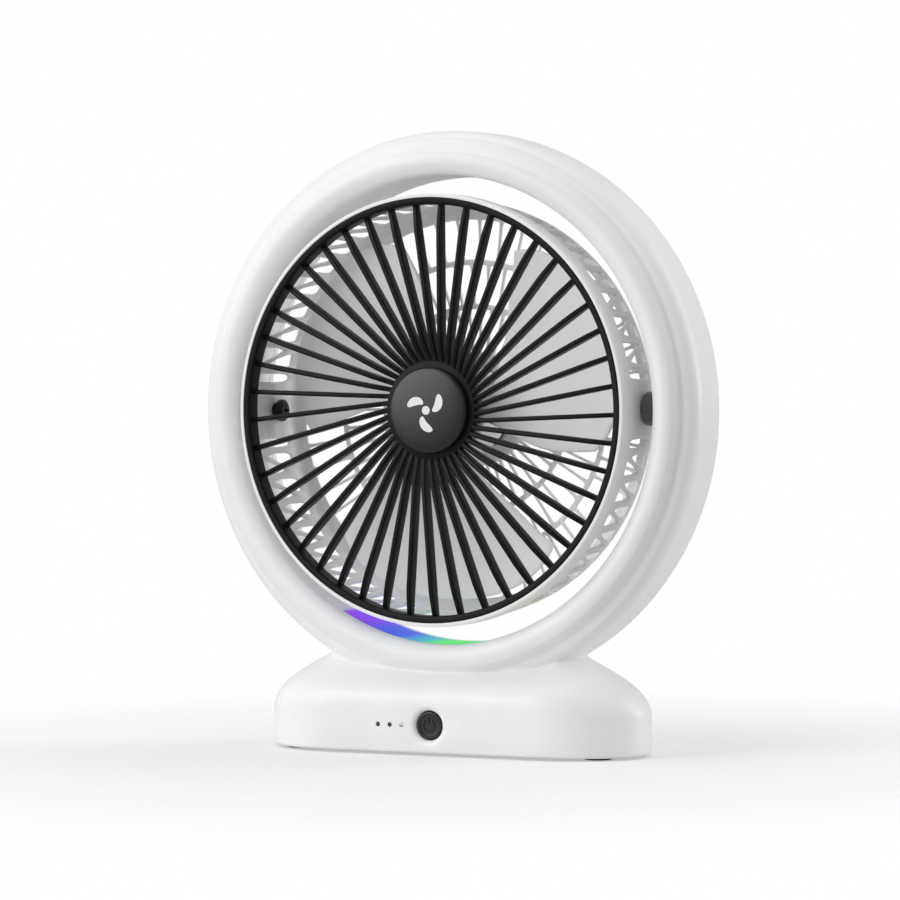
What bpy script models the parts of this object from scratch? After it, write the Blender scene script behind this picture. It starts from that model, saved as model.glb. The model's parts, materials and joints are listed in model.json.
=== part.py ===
# Desk fan: a round head that tilts inside a ring stand, with a battery in the base.
# All sizes are in millimetres; finish() turns each mesh into metres.
import bpy
import bmesh
from math import cos, degrees, pi, radians, sin, sqrt
from mathutils import Matrix, Vector

mm = 0.001
gap = 0.3                 # left between pieces that touch
runFit = 0.08             # radial clearance of a turning fit
screwFit = 0.3            # radial clearance round a screw

# stand: ring
ringInnerRadius = 81.0
ringThickness = 15.5      # from the inner lip out to the barrel
ringFront = 14.2          # in front of the tilt axis
ringRear = 14.0           # behind the tilt axis
ringWall = 2.2
beadWidth = 10.0          # rounded front bead, measured outwards from the inner lip
beadHeight = 3.7
shoulderStep = 1.5        # how far the barrel's shoulder lies behind the crease
linerThickness = 2.0
ringSegments = 48
lightArcStart = 205.0     # degrees, counter-clockwise from +X as seen from the front
lightArcSweep = 130.0
stripSpace = 2.2          # between the liner and the light strip
stripThickness = 0.6
ledCount = 12
ledSize = 3.5
ledHeight = 1.2

# stand: base
baseHalfWidth = 71.8
baseHalfDepth = 23.5
baseWall = 2.2
endRatio = 1.353          # length of the rounded end over the half depth
planSteps = 6             # flats round each end
wallHeight = 14.0         # where the upright wall starts to lean in
neckRise = 14.0           # top of the shoulders above the ring's lowest point
ringLift = 22.0           # lowest point of the ring above the table
shoulderInsetX = 28.8
shoulderInsetY = 14.0
footLift = 0.8
tiltAxisY = -2.0
splitY = 8.0              # front shell ends here, rear shell starts one gap behind
coverThickness = 2.0

# stand: what the base holds
footRadius = 5.0
footThickness = 1.5
footInset = 14.0          # foot centres in from the front and back
footMargin = 0.1          # between a foot and the shell round it
coverScrewSpace = 9.9     # from a foot's centre inwards to the cover screw
coverScrewFrontInset = 10.5
coverScrewRearInset = 9.0
coverScrewLength = 11.0
postRadius = 3.0
postInset = 0.5           # below the outside of the shoulder
screwRadius = 1.2
screwHeadRadius = 2.6
screwHeadHeight = 0.9
shellScrewInset = 33.8
shellScrewZ = 14.0
shellScrewReach = 14.0    # how far a shell screw runs into the front shell
ringScrewReach = 8.0
ringScrewInset = 9.2      # inside the ring's barrel
pilotFit = 0.1            # thread pilot over the shank, in the plastic
ringScrewAngles = (50.0, 130.0)
ringPostRadius = 2.7
ringScrewHeadRadius = 2.0
cellRadius = 9.2
cellLength = 65.0
cellSpace = 4.1           # between the control board and the cell
cradleFloor = 1.2
cradleMargin = 1.5        # cradle beyond each end of the cell
cradleDepth = 16.0
cradleHeight = 5.5
boardWidth = 48.0
boardHeight = 14.0
boardThickness = 1.6
boardSpace = 8.9          # between the front wall and the control board
chargeBoardWidth = 24.0
chargeBoardDepth = 7.6
chargeBoardLift = 2.4     # above the bottom cover
portWidth = 8.94
portHeight = 3.26
portDepth = 7.3
portRecess = 0.4
portShell = 0.35
tongueWidth = 6.6
tongueThickness = 0.7

# power button and battery lights
buttonRadius = 5.1
buttonZ = 10.4
buttonFit = 0.3
buttonRecess = 0.2
buttonFlange = 0.9
flangeGap = 0.7
buttonTravel = 0.6
recessWidth = 1.4
recessDepth = 1.1
stemRadius = 1.6
switchSize = 6.0
switchDepth = 3.3
plungerRadius = 1.5
pipeRadius = 0.65
pipePitch = 4.6
pipeX = -14.9
pipeCount = 3

# head
headSpace = 6.6           # between the head's barrel and the ring's liner
rimWidth = 2.4
rimFront = 20.6
rimDepth = 6.0
bezelWidth = 1.1
barrelSeat = 2.8          # barrel's inner face inside its outer one
barrelTaper = 1.8
barrelRear = 8.0
basketRearInset = 7.9     # rear ring inside the barrel
basketRearRise = 4.8      # the rear ring lies this far behind the barrel's end
windowCount = 48
windowFront = -12.5
windowRear = 7.0
windowAngle = 5.4
spokeCount = 45
spokeOffset = 4.26        # spokes run past the axis at this distance
spokeFirstAngle = 10.0
spokeWidth = 1.6
spokeFront = 19.0
spokeRimDepth = 4.4
spokeHubDepth = 2.6
hubRingMargin = 2.6       # hub ring beyond the cap
hubRingFront = 17.4
hubRingDepth = 3.2
capRadius = 14.8
capProud = 0.2            # cap face in front of the rim
capStubRadius = 3.0
basketRibCount = 18
basketRibWidth = 1.8
basketRingCount = 2
motorFloorMargin = 3.0    # floor beyond the motor cover
motorFloorFront = 16.2
motorFloorThickness = 2.5
motorCoverRadius = 17.0
motorCoverHeight = 2.6
motorCoverWall = 1.2
motorScrewInset = 4.0     # inside the motor base's edge
motorScrewShank = 1.1
motorScrewHead = 2.0

# fan and motor
bladeCount = 3
bladeSpace = 3.8          # between a blade tip and the barrel
bladeSweep = 82.0
bladeFirstAngle = 140.0
bladeFront = -8.5
bladeRear = 6.5
bladeThickness = 1.6
bladeRootShare = 0.62     # sweep at the hub over the full sweep
bladeLean = 14.0          # degrees that a blade leans forward from hub to tip
bladeTwist = 0.35         # share of the pitch lost at the tip
bladeCornerCut = 7.0
fanHubRadius = 16.0
fanHubWall = 1.4
fanHubFace = 1.7
fanHubFront = -8.0
fanHubRear = 10.0
cupWall = 1.0
magnetThickness = 1.3
magnetLength = 8.0
airGap = 0.4
statorPoles = 6
statorLength = 8.0
sleeveRadius = 4.0
shaftRadius = 1.5
motorBaseRadius = 15.0
motorBaseThickness = 2.0
motorBoardThickness = 1.2
clipThickness = 0.5
clipRadius = 3.2

# pivots
pinRadius = 2.5
pinHeadStep = 1.4         # head beyond the pin
pinHeadThickness = 2.2
bushWall = 3.0
socketWall = 1.32
socketDepth = 7.4
socketStep = 2.6
socketFloor = 1.4
washerWall = 2.2
washerThickness = 0.8
nutWall = 1.6             # from the bore to the corners
nutThickness = 1.6

ringOuterRadius = ringInnerRadius + ringThickness
hubHeight = ringOuterRadius + ringLift
neckHeight = ringLift + neckRise
linerOuterRadius = ringInnerRadius + linerThickness
splitLocal = splitY - tiltAxisY      # the split seen from the tilt axis
linerFront = -(ringFront - beadHeight) + 2.5
ringScrewRadius = ringOuterRadius - ringScrewInset
shellScrewX = baseHalfWidth - shellScrewInset
stripRadius = linerOuterRadius + stripSpace
boardY = -baseHalfDepth + baseWall + boardSpace
cellY = boardY + boardThickness + cellSpace + cellRadius
cellZ = footLift + coverThickness + cradleFloor + 2 * gap + cellRadius
chargeBoardZ = footLift + coverThickness + chargeBoardLift
barrelRadius = ringInnerRadius - headSpace
rimRadius = barrelRadius - bezelWidth - gap
basketRearRadius = barrelRadius - basketRearInset
hubRingRadius = capRadius + hubRingMargin
motorFloorRadius = motorCoverRadius + motorFloorMargin
motorScrewRadius = motorBaseRadius - motorScrewInset
pinHeadRadius = pinRadius + pinHeadStep
washerRadius = pinRadius + gap + washerWall
nutRadius = pinRadius + gap + nutWall
bushRadius = pinRadius + gap + bushWall
socketRadius = bushRadius + runFit + socketWall
hubPoint = Vector((0.0, tiltAxisY, hubHeight))


def clearScene():
    for item in list(bpy.data.objects):
        bpy.data.objects.remove(item, do_unlink=True)


def makeMaterial(name, colour, roughness, metallic=0.0):
    material = bpy.data.materials.new(name)
    material.use_nodes = True
    shader = material.node_tree.nodes["Principled BSDF"]
    shader.inputs["Base Color"].default_value = (*colour, 1.0)
    shader.inputs["Roughness"].default_value = roughness
    shader.inputs["Metallic"].default_value = metallic
    material.diffuse_color = (*colour, 1.0)
    return material


def toObject(bm, name="tool"):
    bmesh.ops.remove_doubles(bm, verts=bm.verts, dist=1e-4)
    bmesh.ops.recalc_face_normals(bm, faces=bm.faces)
    mesh = bpy.data.meshes.new(name)
    bm.to_mesh(mesh)
    bm.free()
    item = bpy.data.objects.new(name, mesh)
    bpy.context.collection.objects.link(item)
    return item


def combine(target, tool, operation):
    modifier = target.modifiers.new("cut", "BOOLEAN")
    modifier.operation = operation
    modifier.solver = "EXACT"
    modifier.object = tool
    bpy.context.view_layer.objects.active = target
    bpy.ops.object.modifier_apply(modifier=modifier.name)
    bpy.data.objects.remove(tool, do_unlink=True)
    bm = bmesh.new()
    bm.from_mesh(target.data)
    bmesh.ops.remove_doubles(bm, verts=bm.verts, dist=1e-4)
    bmesh.ops.triangulate(bm, faces=bm.faces)
    bm.to_mesh(target.data)
    bm.free()
    return target


def add(target, tool):
    return combine(target, tool, "UNION")


def cut(target, tool):
    return combine(target, tool, "DIFFERENCE")


def finish(item, name, material, parent=None, location=(0.0, 0.0, 0.0), angle=30.0):
    item.name = name
    item.data.name = name
    bm = bmesh.new()
    bm.from_mesh(item.data)
    bmesh.ops.dissolve_limit(bm, angle_limit=radians(0.05), verts=bm.verts, edges=bm.edges)
    bmesh.ops.triangulate(bm, faces=bm.faces)
    bmesh.ops.scale(bm, vec=(mm, mm, mm), verts=bm.verts)
    bm.to_mesh(item.data)
    bm.free()
    item.data.materials.clear()
    item.data.materials.append(material)
    item.data.shade_smooth()
    item.data.set_sharp_from_angle(angle=radians(angle))
    item.location = Vector(location) * mm
    item.parent = parent
    return item


def place(item, axis="Y", at=(0.0, 0.0, 0.0)):
    # a mesh made round Y is laid along the axis wanted, then moved
    turn = {"X": Matrix.Rotation(-pi / 2, 4, "Z"), "Z": Matrix.Rotation(pi / 2, 4, "X")}
    if axis in turn:
        item.data.transform(turn[axis])
    item.data.transform(Matrix.Translation(at))
    return item


def revolve(profile, segments, axis="Y", at=(0.0, 0.0, 0.0), start=0.0, sweep=360.0):
    # profile: (radius, distance along the axis); angles run from +X towards +Z
    bm = bmesh.new()
    turn = Matrix.Rotation(radians(start), 4, Vector((0.0, -1.0, 0.0)))
    verts = [bm.verts.new(turn @ Vector((r, y, 0.0))) for r, y in profile]
    full = sweep >= 360.0
    if full:
        solid = profile[0][0] == 0.0
        pairs = list(zip(verts, verts[1:])) + ([] if solid else [(verts[-1], verts[0])])
        geometry = verts + [bm.edges.new(pair) for pair in pairs]
    else:
        geometry = [bm.faces.new(verts)]
        geometry += list(geometry[0].edges) + verts
    bmesh.ops.spin(bm, geom=geometry, cent=(0.0, 0.0, 0.0), axis=(0.0, -1.0, 0.0),
                   angle=radians(sweep), steps=segments, use_merge=full)
    return place(toObject(bm), axis, at)


def rod(radius, low, high, axis="Y", at=(0.0, 0.0, 0.0), segments=20):
    return revolve([(0.0, low), (radius, low), (radius, high), (0.0, high)], segments, axis, at)


def tube(outer, inner, low, high, axis="Y", at=(0.0, 0.0, 0.0), segments=20):
    return revolve([(inner, low), (outer, low), (outer, high), (inner, high)], segments, axis, at)


def box(low, high):
    bm = bmesh.new()
    bmesh.ops.create_cube(bm, size=1.0)
    size = Vector(high) - Vector(low)
    bmesh.ops.scale(bm, verts=bm.verts, vec=size)
    bmesh.ops.translate(bm, verts=bm.verts, vec=Vector(low) + size / 2)
    return toObject(bm)


def merge(items):
    # several separate solids become one tool for a single cut or union
    bm = bmesh.new()
    for item in items:
        bm.from_mesh(item.data)
        bpy.data.objects.remove(item, do_unlink=True)
    return toObject(bm)


def loft(loops):
    bm = bmesh.new()
    rows = [[bm.verts.new(point) for point in loop] for loop in loops]
    count = len(rows[0])
    for low, high in zip(rows, rows[1:]):
        for i in range(count):
            j = (i + 1) % count
            bm.faces.new((low[i], low[j], high[j], high[i]))
    bm.faces.new(rows[0])
    bm.faces.new(rows[-1])
    return toObject(bm)


def polar(radius, angle, y):
    return Vector((radius * cos(radians(angle)), y, radius * sin(radians(angle))))


# ---- stand: shells -------------------------------------------------------------------

def shoulderSize(height):
    # half width and half depth of the base at a height
    s = max(0.0, min(1.0, (height - wallHeight) / (neckHeight - wallHeight)))
    leanX = s ** 1.9
    leanY = s ** 3 / (s ** 3 + (1.23 * (1.0 - s)) ** 3)
    return baseHalfWidth - shoulderInsetX * leanX, baseHalfDepth - shoulderInsetY * leanY


def planLoop(halfWidth, halfDepth, inset, z):
    # straight front and back, half-ellipse ends
    endLength = endRatio * halfDepth
    centreX = halfWidth - endLength
    endLength -= inset
    depth = halfDepth - inset
    points = []
    for side in (1.0, -1.0):
        for i in range(planSteps + 1):
            t = radians(-90.0 + 180.0 * i / planSteps) * side
            x = side * (centreX + endLength * cos(t))
            points.append(Vector((x, depth * sin(t), z)))
    return points


def insidePlan(x, y, halfWidth, halfDepth, inset=0.0):
    # whether a point lies inside the flats of planLoop
    flat = cos(pi / (2 * planSteps))
    endLength = endRatio * halfDepth
    beyond = max(0.0, x - (halfWidth - endLength)) / ((endLength - inset) * flat)
    across = y / ((halfDepth - inset) * flat)
    return beyond ** 2 + across ** 2 < 1.0


def baseOuter():
    edge = 1.0
    loops = [planLoop(baseHalfWidth, baseHalfDepth, edge * 0.6, footLift)]
    loops.append(planLoop(baseHalfWidth, baseHalfDepth, 0.0, footLift + edge))
    steps = 7
    for i in range(steps + 1):
        z = wallHeight + (neckHeight - wallHeight) * i / steps
        width, depth = shoulderSize(z)
        loops.append(planLoop(width, depth, 0.0, z))
    return loft(loops)


def baseCavity():
    loops = [planLoop(baseHalfWidth, baseHalfDepth, baseWall, -1.0)]
    steps = 6
    low = wallHeight - baseWall
    for i in range(steps + 1):
        z = low + (neckHeight - baseWall - low) * i / steps
        width, depth = shoulderSize(z + baseWall)
        loops.append(planLoop(width, depth, baseWall, z))
    return loft(loops)


def ringOutline():
    inner, outer = ringInnerRadius, ringOuterRadius
    lip = -(ringFront - beadHeight)
    points = [(inner, lip)]
    for i in range(1, 6):
        t = pi * i / 6
        points.append((inner + beadWidth / 2 * (1 - cos(t)), lip - beadHeight * sin(t)))
    crease = inner + beadWidth
    points.append((crease, lip))
    run = outer - crease
    points += [(crease + run * 0.56, lip + shoulderStep), (crease + run * 0.87, lip + shoulderStep + 2.4)]
    points += [(outer, lip + shoulderStep + 5.5), (outer, ringRear - 7.5)]
    corner = 5.0
    for i in range(1, 4):
        t = radians(30.0 * i)
        points.append((outer - corner * (1 - cos(t)), ringRear - 7.5 + 7.5 * sin(t)))
    points += [(inner + 2.0, ringRear), (inner, ringRear - 1.7)]
    return points


def ringHollow():
    # the channel that the liner and the diffuser close on the inside
    inner, outer = ringInnerRadius, ringOuterRadius
    deep = inner + ringWall
    front = -(ringFront - ringWall - 1.2)
    wall = outer - ringWall - 0.2
    rear = ringRear - ringWall
    lip = -(ringFront - beadHeight)
    end = splitLocal + gap / 2
    return [(inner - 2.0, linerFront), (deep, linerFront), (deep + 1.2, front),
            (inner + beadWidth - 2.8, front), (inner + beadWidth - 0.8, lip + 2.3),
            (wall - 1.2, lip + shoulderStep + 2.8), (wall, lip + shoulderStep + 5.0),
            (wall, ringRear - 7.0), (wall - 2.8, rear), (deep, rear), (deep, end), (inner - 2.0, end)]


def standShell():
    shell = revolve(ringOutline(), ringSegments, at=hubPoint)
    shell = add(shell, baseOuter())
    shell = cut(shell, revolve(ringHollow(), ringSegments, at=hubPoint))
    shell = cut(shell, baseCavity())
    return add(shell, merge(screwPosts()))


def screwPosts():
    # each post runs from wall to wall, and the split shares it between the shells
    posts = []
    reach = baseHalfDepth - 1.0
    for side in (-1.0, 1.0):
        posts.append(rod(postRadius, -reach, reach, "Y", (side * shellScrewX, 0, shellScrewZ), 12))
    for x, y in coverScrewPlaces():
        top = shoulderHeight(abs(x) + postRadius, abs(y) + postRadius) - postInset
        posts.append(rod(postRadius, coverTop() + gap, top, "Z", (x, y, 0), 12))
    inside = ringWall * 0.6
    for spot in ringScrewPlaces():
        low = -(ringFront - beadHeight) - inside
        posts.append(rod(ringPostRadius, low, ringRear - inside, "Y", spot, 12))
    return posts


def shoulderHeight(x, y):
    # how high the base still covers a point of its plan
    height = neckHeight
    covered = False
    while not covered and height > wallHeight:
        height -= 0.1
        covered = insidePlan(x, y, *shoulderSize(height))
    return height


def keepBetween(item, lowY, highY):
    reach = ringOuterRadius + baseHalfWidth
    block = box((-reach, lowY, -20.0), (reach, highY, hubHeight + ringOuterRadius + 20.0))
    return combine(item, block, "INTERSECT")


def ringScrewPlaces():
    return [hubPoint + polar(ringScrewRadius, angle, 0.0) for angle in ringScrewAngles]


def buildFrontShell(shell, material):
    item = keepBetween(shell, -baseHalfDepth - 50.0, splitY)
    holes = []
    for side in (-1.0, 1.0):
        holes.append(coverScrewHole(side * coverScrewX(), coverScrewFrontY()))
        spot = (side * shellScrewX, 0, shellScrewZ)
        low = splitY - shellScrewReach - 1.0
        holes.append(rod(screwRadius + screwFit, low, splitY + 2.0, "Y", spot, 10))
    for spot in ringScrewPlaces():
        low = splitLocal - ringScrewReach - 2.0
        holes.append(rod(screwRadius + pilotFit, low, splitLocal + 2.0, "Y", spot, 10))
    face = -baseHalfDepth
    hole = buttonRadius + buttonFit
    wide = hole + recessWidth
    reach = face + baseWall + 2.0
    profile = [(0.0, face - 1.0), (wide + 1.0, face - 1.0), (wide, face), (hole, face + recessDepth),
               (hole, reach), (0.0, reach)]
    holes.append(revolve(profile, 32, at=(0, 0, buttonZ)))
    for spot in pipePlaces():
        holes.append(rod(pipeRadius + gap, face - 1.0, face + baseWall + 2.0, "Y", (spot, 0, buttonZ), 10))
    item = cut(item, merge(holes))
    return finish(item, "body_front_shell", material)


def coverScrewHole(x, y):
    high = footLift + coverScrewLength + 0.7
    return rod(screwRadius + screwFit, 0.0, high, "Z", (x, y, 0), 10)


def portCentreZ():
    return chargeBoardZ + boardThickness + gap + portHeight / 2


def roundedSlot(width, height, low, high, z):
    # an oblong prism along Y
    bm = bmesh.new()
    straight = width / 2 - height / 2
    loop = []
    for side in (1.0, -1.0):
        for i in range(5):
            t = radians(-90.0 + 45.0 * i)
            loop.append((side * (straight + height / 2 * cos(t)), side * height / 2 * sin(t)))
    face = bm.faces.new([bm.verts.new((x, low, z + h)) for x, h in loop])
    moved = bmesh.ops.extrude_face_region(bm, geom=[face])["geom"]
    far = [part for part in moved if isinstance(part, bmesh.types.BMVert)]
    bmesh.ops.translate(bm, verts=far, vec=(0, high - low, 0))
    return toObject(bm)


def buildRearShell(shell, material):
    item = keepBetween(shell, splitY + gap, baseHalfDepth + 50.0)
    holes = []
    for side in (-1.0, 1.0):
        holes.append(coverScrewHole(side * coverScrewX(), coverScrewRearY()))
        spot = (side * shellScrewX, 0, shellScrewZ)
        face = baseHalfDepth
        holes.append(steppedHole(screwHeadRadius + gap, face - 1.7, face + 2.0,
                                 screwRadius + screwFit, 0.0, spot))
    for spot in ringScrewPlaces():
        holes.append(steppedHole(ringScrewHeadRadius + gap, ringRear - 1.4, ringRear + 2.0,
                                 screwRadius + pilotFit, 0.0, spot))
    holes.append(roundedSlot(portWidth + 2 * gap, portHeight + 2 * gap, baseHalfDepth - 6.0,
                             baseHalfDepth + 2.0, portCentreZ()))
    item = cut(item, merge(holes))
    return finish(item, "body_rear_shell", material)


def steppedHole(wide, step, outside, narrow, inside, at):
    profile = [(0.0, inside), (narrow, inside), (narrow, step), (wide, step), (wide, outside),
               (0.0, outside)]
    return revolve(profile, 12, at=at)


def coverTop():
    return footLift + coverThickness


def buildBottomCover(material):
    low = planLoop(baseHalfWidth, baseHalfDepth, baseWall + gap, footLift)
    high = planLoop(baseHalfWidth, baseHalfDepth, baseWall + gap, coverTop())
    item = loft([low, high])
    pockets = []
    for x, y in footPlaces():
        pockets.append(rod(footRadius + gap, -1.0, footThickness + gap, "Z", (x, y, 0), 24))
    for x, y in coverScrewPlaces():
        high = footLift + screwHeadHeight + gap
        pockets.append(rod(screwHeadRadius + gap, -1.0, high, "Z", (x, y, 0), 12))
    item = cut(item, merge(pockets))
    shanks = []
    for x, y in coverScrewPlaces():
        shanks.append(rod(screwRadius + screwFit, -1.0, coverTop() + 1.0, "Z", (x, y, 0), 12))
    item = cut(item, merge(shanks))
    return finish(item, "bottom_cover", material)


def footPlaces():
    x, y = footX(), baseHalfDepth - footInset
    return [(-x, -y), (-x, y), (x, -y), (x, y)]


def footX():
    # the foot lies a margin inside the cover's rounded end
    footY = baseHalfDepth - footInset
    reach = footRadius + footMargin
    turns = [radians(15.0 * i) for i in range(24)]
    x = baseHalfWidth
    fits = False
    while not fits and x > footRadius:
        x -= 0.1
        rim = [(x + reach * cos(turn), footY + reach * sin(turn)) for turn in turns]
        fits = all(insidePlan(*point, baseHalfWidth, baseHalfDepth, baseWall + gap) for point in rim)
    return x


def coverScrewX():
    return footX() - coverScrewSpace


def coverScrewFrontY():
    return -baseHalfDepth + coverScrewFrontInset


def coverScrewRearY():
    return baseHalfDepth - coverScrewRearInset


def coverScrewPlaces():
    x, front, rear = coverScrewX(), coverScrewFrontY(), coverScrewRearY()
    return [(-x, front), (-x, rear), (x, front), (x, rear)]


def buildFeet(material):
    edge = 0.4
    for number, (x, y) in enumerate(footPlaces(), 1):
        profile = [(0.0, 0.0), (footRadius - edge, 0.0), (footRadius, edge), (footRadius, footThickness),
                   (0.0, footThickness)]
        finish(revolve(profile, 16, "Z"), f"rubber_foot_{number}", material, location=(x, y, 0.0))


def screw(headRadius, headHeight, shank, length, axis, flip=False):
    # head on the outside at 0, shank running inwards
    profile = [(0.0, 0.0), (headRadius, 0.0), (headRadius, headHeight), (shank, headHeight),
               (shank, length - shank), (0.0, length)]
    if flip:
        profile = [(r, -y) for r, y in profile]
    return revolve(profile, 10, axis)


def buildStandScrews(material):
    for number, (x, y) in enumerate(coverScrewPlaces(), 1):
        item = screw(screwHeadRadius, screwHeadHeight, screwRadius, coverScrewLength, "Z")
        finish(item, f"bottom_screw_{number}", material, location=(x, y, footLift))
    sunk = 0.5
    length = baseHalfDepth - sunk - splitY + shellScrewReach
    for number, side in enumerate((-1.0, 1.0), 1):
        item = screw(screwHeadRadius, screwHeadHeight, screwRadius, length, "Y", True)
        spot = (side * shellScrewX, baseHalfDepth - sunk, shellScrewZ)
        finish(item, f"shell_screw_{number}", material, location=spot)
    sunk = 0.2
    length = ringRear - sunk - splitLocal + ringScrewReach
    for number, spot in enumerate(ringScrewPlaces(), 3):
        item = screw(ringScrewHeadRadius, screwHeadHeight, screwRadius - sunk, length, "Y", True)
        finish(item, f"shell_screw_{number}", material, location=spot + Vector((0.0, ringRear - sunk, 0.0)))


# ---- stand: liner, light and pivots sockets ----------------------------------------------

def bandProfile(inner, outer, low, high):
    return [(inner, low), (outer, low), (outer, high), (inner, high)]


def buildLiner(material):
    profile = bandProfile(ringInnerRadius, linerOuterRadius, linerFront + gap, splitLocal - gap)
    space = degrees(gap / ringInnerRadius)
    start = lightArcStart + lightArcSweep + space
    sweep = 360.0 - lightArcSweep - 2 * space
    item = revolve(profile, 40, at=hubPoint, start=start, sweep=sweep)
    reach = linerOuterRadius + 5.0
    hole = rod(bushRadius + gap, -reach, reach, "X", hubPoint, 24)
    return finish(cut(item, hole), "ring_liner", material)


def buildDiffuser(material):
    profile = bandProfile(ringInnerRadius, linerOuterRadius, linerFront + gap, splitLocal - gap)
    item = revolve(profile, 22, at=hubPoint, start=lightArcStart, sweep=lightArcSweep)
    return finish(item, "light_diffuser", material)


def buildLedStrip(material):
    middle = (linerFront + splitLocal) / 2
    margin = 6.0
    half = ledSize / 2 + 1.2
    profile = bandProfile(stripRadius, stripRadius + stripThickness, middle - half, middle + half)
    start = lightArcStart + margin
    sweep = lightArcSweep - 2 * margin
    item = revolve(profile, 22, at=hubPoint, start=start, sweep=sweep)
    lamps = []
    for i in range(ledCount):
        angle = start + sweep * (i + 0.5) / ledCount
        lamp = box((stripRadius - ledHeight, middle - ledSize / 2, -ledSize / 2),
                   (stripRadius + stripThickness / 2, middle + ledSize / 2, ledSize / 2))
        lamp.data.transform(Matrix.Rotation(radians(angle), 4, Vector((0.0, -1.0, 0.0))))
        lamps.append(place(lamp, at=hubPoint))
    return finish(add(item, merge(lamps)), "led_strip", material)


def buildPivotSockets(material, washerMaterial):
    start = linerOuterRadius + gap
    end = start + socketDepth
    step = start + socketStep
    seat = step + socketFloor
    for name, side in (("left", -1.0), ("right", 1.0)):
        wide = washerRadius + 0.5
        bore = bushRadius + runFit
        profile = [(bore, start), (socketRadius, start), (socketRadius, end), (wide, end), (wide, seat),
                   (pinRadius + runFit, seat), (pinRadius + runFit, step), (bore, step)]
        item = revolve([(r, side * x) for r, x in profile], 24, "X")
        finish(item, f"pivot_socket_{name}", material, location=hubPoint)
        low = seat + gap
        item = tube(washerRadius, pinRadius + gap, side * low, side * (low + washerThickness), "X")
        finish(item, f"friction_washer_{name}", washerMaterial, location=hubPoint)


# ---- stand: battery, boards, port --------------------------------------------------------

def buildBattery(material, cradleMaterial):
    edge = 0.8
    half = cellLength / 2
    button = cellRadius * 0.35
    profile = [(0.0, -half), (cellRadius - edge, -half), (cellRadius, -half + edge), (cellRadius, half - edge),
               (cellRadius - edge, half), (button, half), (button, half + 1.0), (0.0, half + 1.0)]
    finish(revolve(profile, 24, "X"), "battery_cell", material, location=(0.0, cellY, cellZ))
    low = coverTop() + gap
    reach = half + cradleMargin
    item = box((-reach, cellY - cradleDepth / 2, low), (reach, cellY + cradleDepth / 2, low + cradleHeight))
    cutter = rod(cellRadius + gap, -reach - 5.0, reach + 5.0, "X", (0.0, cellY, cellZ), 24)
    finish(cut(item, cutter), "battery_cradle", cradleMaterial)


def buildControlBoard(boardMaterial, switchMaterial):
    z = buttonZ - boardHeight / 2
    item = box((-boardWidth / 2, boardY, z), (boardWidth / 2, boardY + boardThickness, z + boardHeight))
    finish(item, "control_board", boardMaterial)
    half = switchSize / 2
    front = switchFront()
    item = box((-half, front, buttonZ - half), (half, front + switchDepth, buttonZ + half))
    bore = rod(plungerRadius + gap, front - 1.0, front + plungerDepth(), "Y", (0.0, 0.0, buttonZ), 20)
    finish(cut(item, bore), "tactile_switch", switchMaterial)


def switchFront():
    return boardY - gap - switchDepth


def plungerDepth():
    return buttonTravel + 1.7 + gap


def buildChargingPort(boardMaterial, portMaterial, tongueMaterial):
    rear = baseHalfDepth - baseWall - gap
    low = chargeBoardZ
    half = chargeBoardWidth / 2
    item = box((-half, rear - chargeBoardDepth, low), (half, rear, low + boardThickness))
    finish(item, "charging_board", boardMaterial)
    z = portCentreZ()
    end = baseHalfDepth - portRecess
    start = end - portDepth
    item = roundedSlot(portWidth, portHeight, start, end, z)
    hollow = roundedSlot(portWidth - 2 * portShell, portHeight - 2 * portShell, start + 1.0, end + 1.0, z)
    finish(cut(item, hollow), "charging_port", portMaterial)
    item = box((-tongueWidth / 2, start + 1.0 + gap, z - tongueThickness / 2),
               (tongueWidth / 2, end - 1.2, z + tongueThickness / 2))
    finish(item, "port_tongue", tongueMaterial)


# ---- power button and battery lights -----------------------------------------------------

def pipePlaces():
    middle = (pipeCount - 1) / 2
    return [pipeX + pipePitch * (i - middle) for i in range(pipeCount)]


def buildLightPipe(material):
    places = pipePlaces()
    face = -baseHalfDepth + 0.1
    back = -baseHalfDepth + baseWall + 1.8
    item = box((places[0] - 2.0, back, buttonZ - 1.2), (places[-1] + 2.0, back + 1.6, buttonZ + 1.2))
    pins = [rod(pipeRadius, face, back + 0.8, "Y", (x, 0, buttonZ), 10) for x in places]
    finish(add(item, merge(pins)), "indicator_light_pipe", material)


def buildButton(material, plungerMaterial):
    face = -baseHalfDepth + buttonRecess
    flange = -baseHalfDepth + baseWall + flangeGap
    stemEnd = switchFront() - 1.6
    edge = 0.5
    step = flange - face
    wide = buttonRadius + buttonFlange
    profile = [(0.0, 0.35), (buttonRadius * 0.6, 0.2), (buttonRadius - edge, 0.0), (buttonRadius, edge),
               (buttonRadius, step), (wide, step), (wide, step + 1.0), (stemRadius, step + 1.0),
               (stemRadius, stemEnd - face), (0.0, stemEnd - face)]
    finish(revolve(profile, 24), "power_button", material, location=(0.0, face, buttonZ))
    start = stemEnd + gap
    end = switchFront() + plungerDepth() - gap - buttonTravel
    finish(rod(plungerRadius, 0.0, end - start, segments=20), "switch_plunger", plungerMaterial,
           location=(0.0, start, buttonZ))


# ---- head --------------------------------------------------------------------------------

def barrelOuterAt(y):
    share = (y - windowFront + 1.5) / (barrelRear - windowFront + 1.5)
    return barrelRadius - barrelTaper * share


def barrelInnerAt(y):
    # the flats of the wall lie a little inside its corners
    seat = -rimFront + rimDepth + gap
    share = (y - seat) / (barrelRear - seat)
    return (barrelRadius - barrelSeat - (barrelTaper - 0.2) * share) * cos(pi / windowCount)


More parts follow.
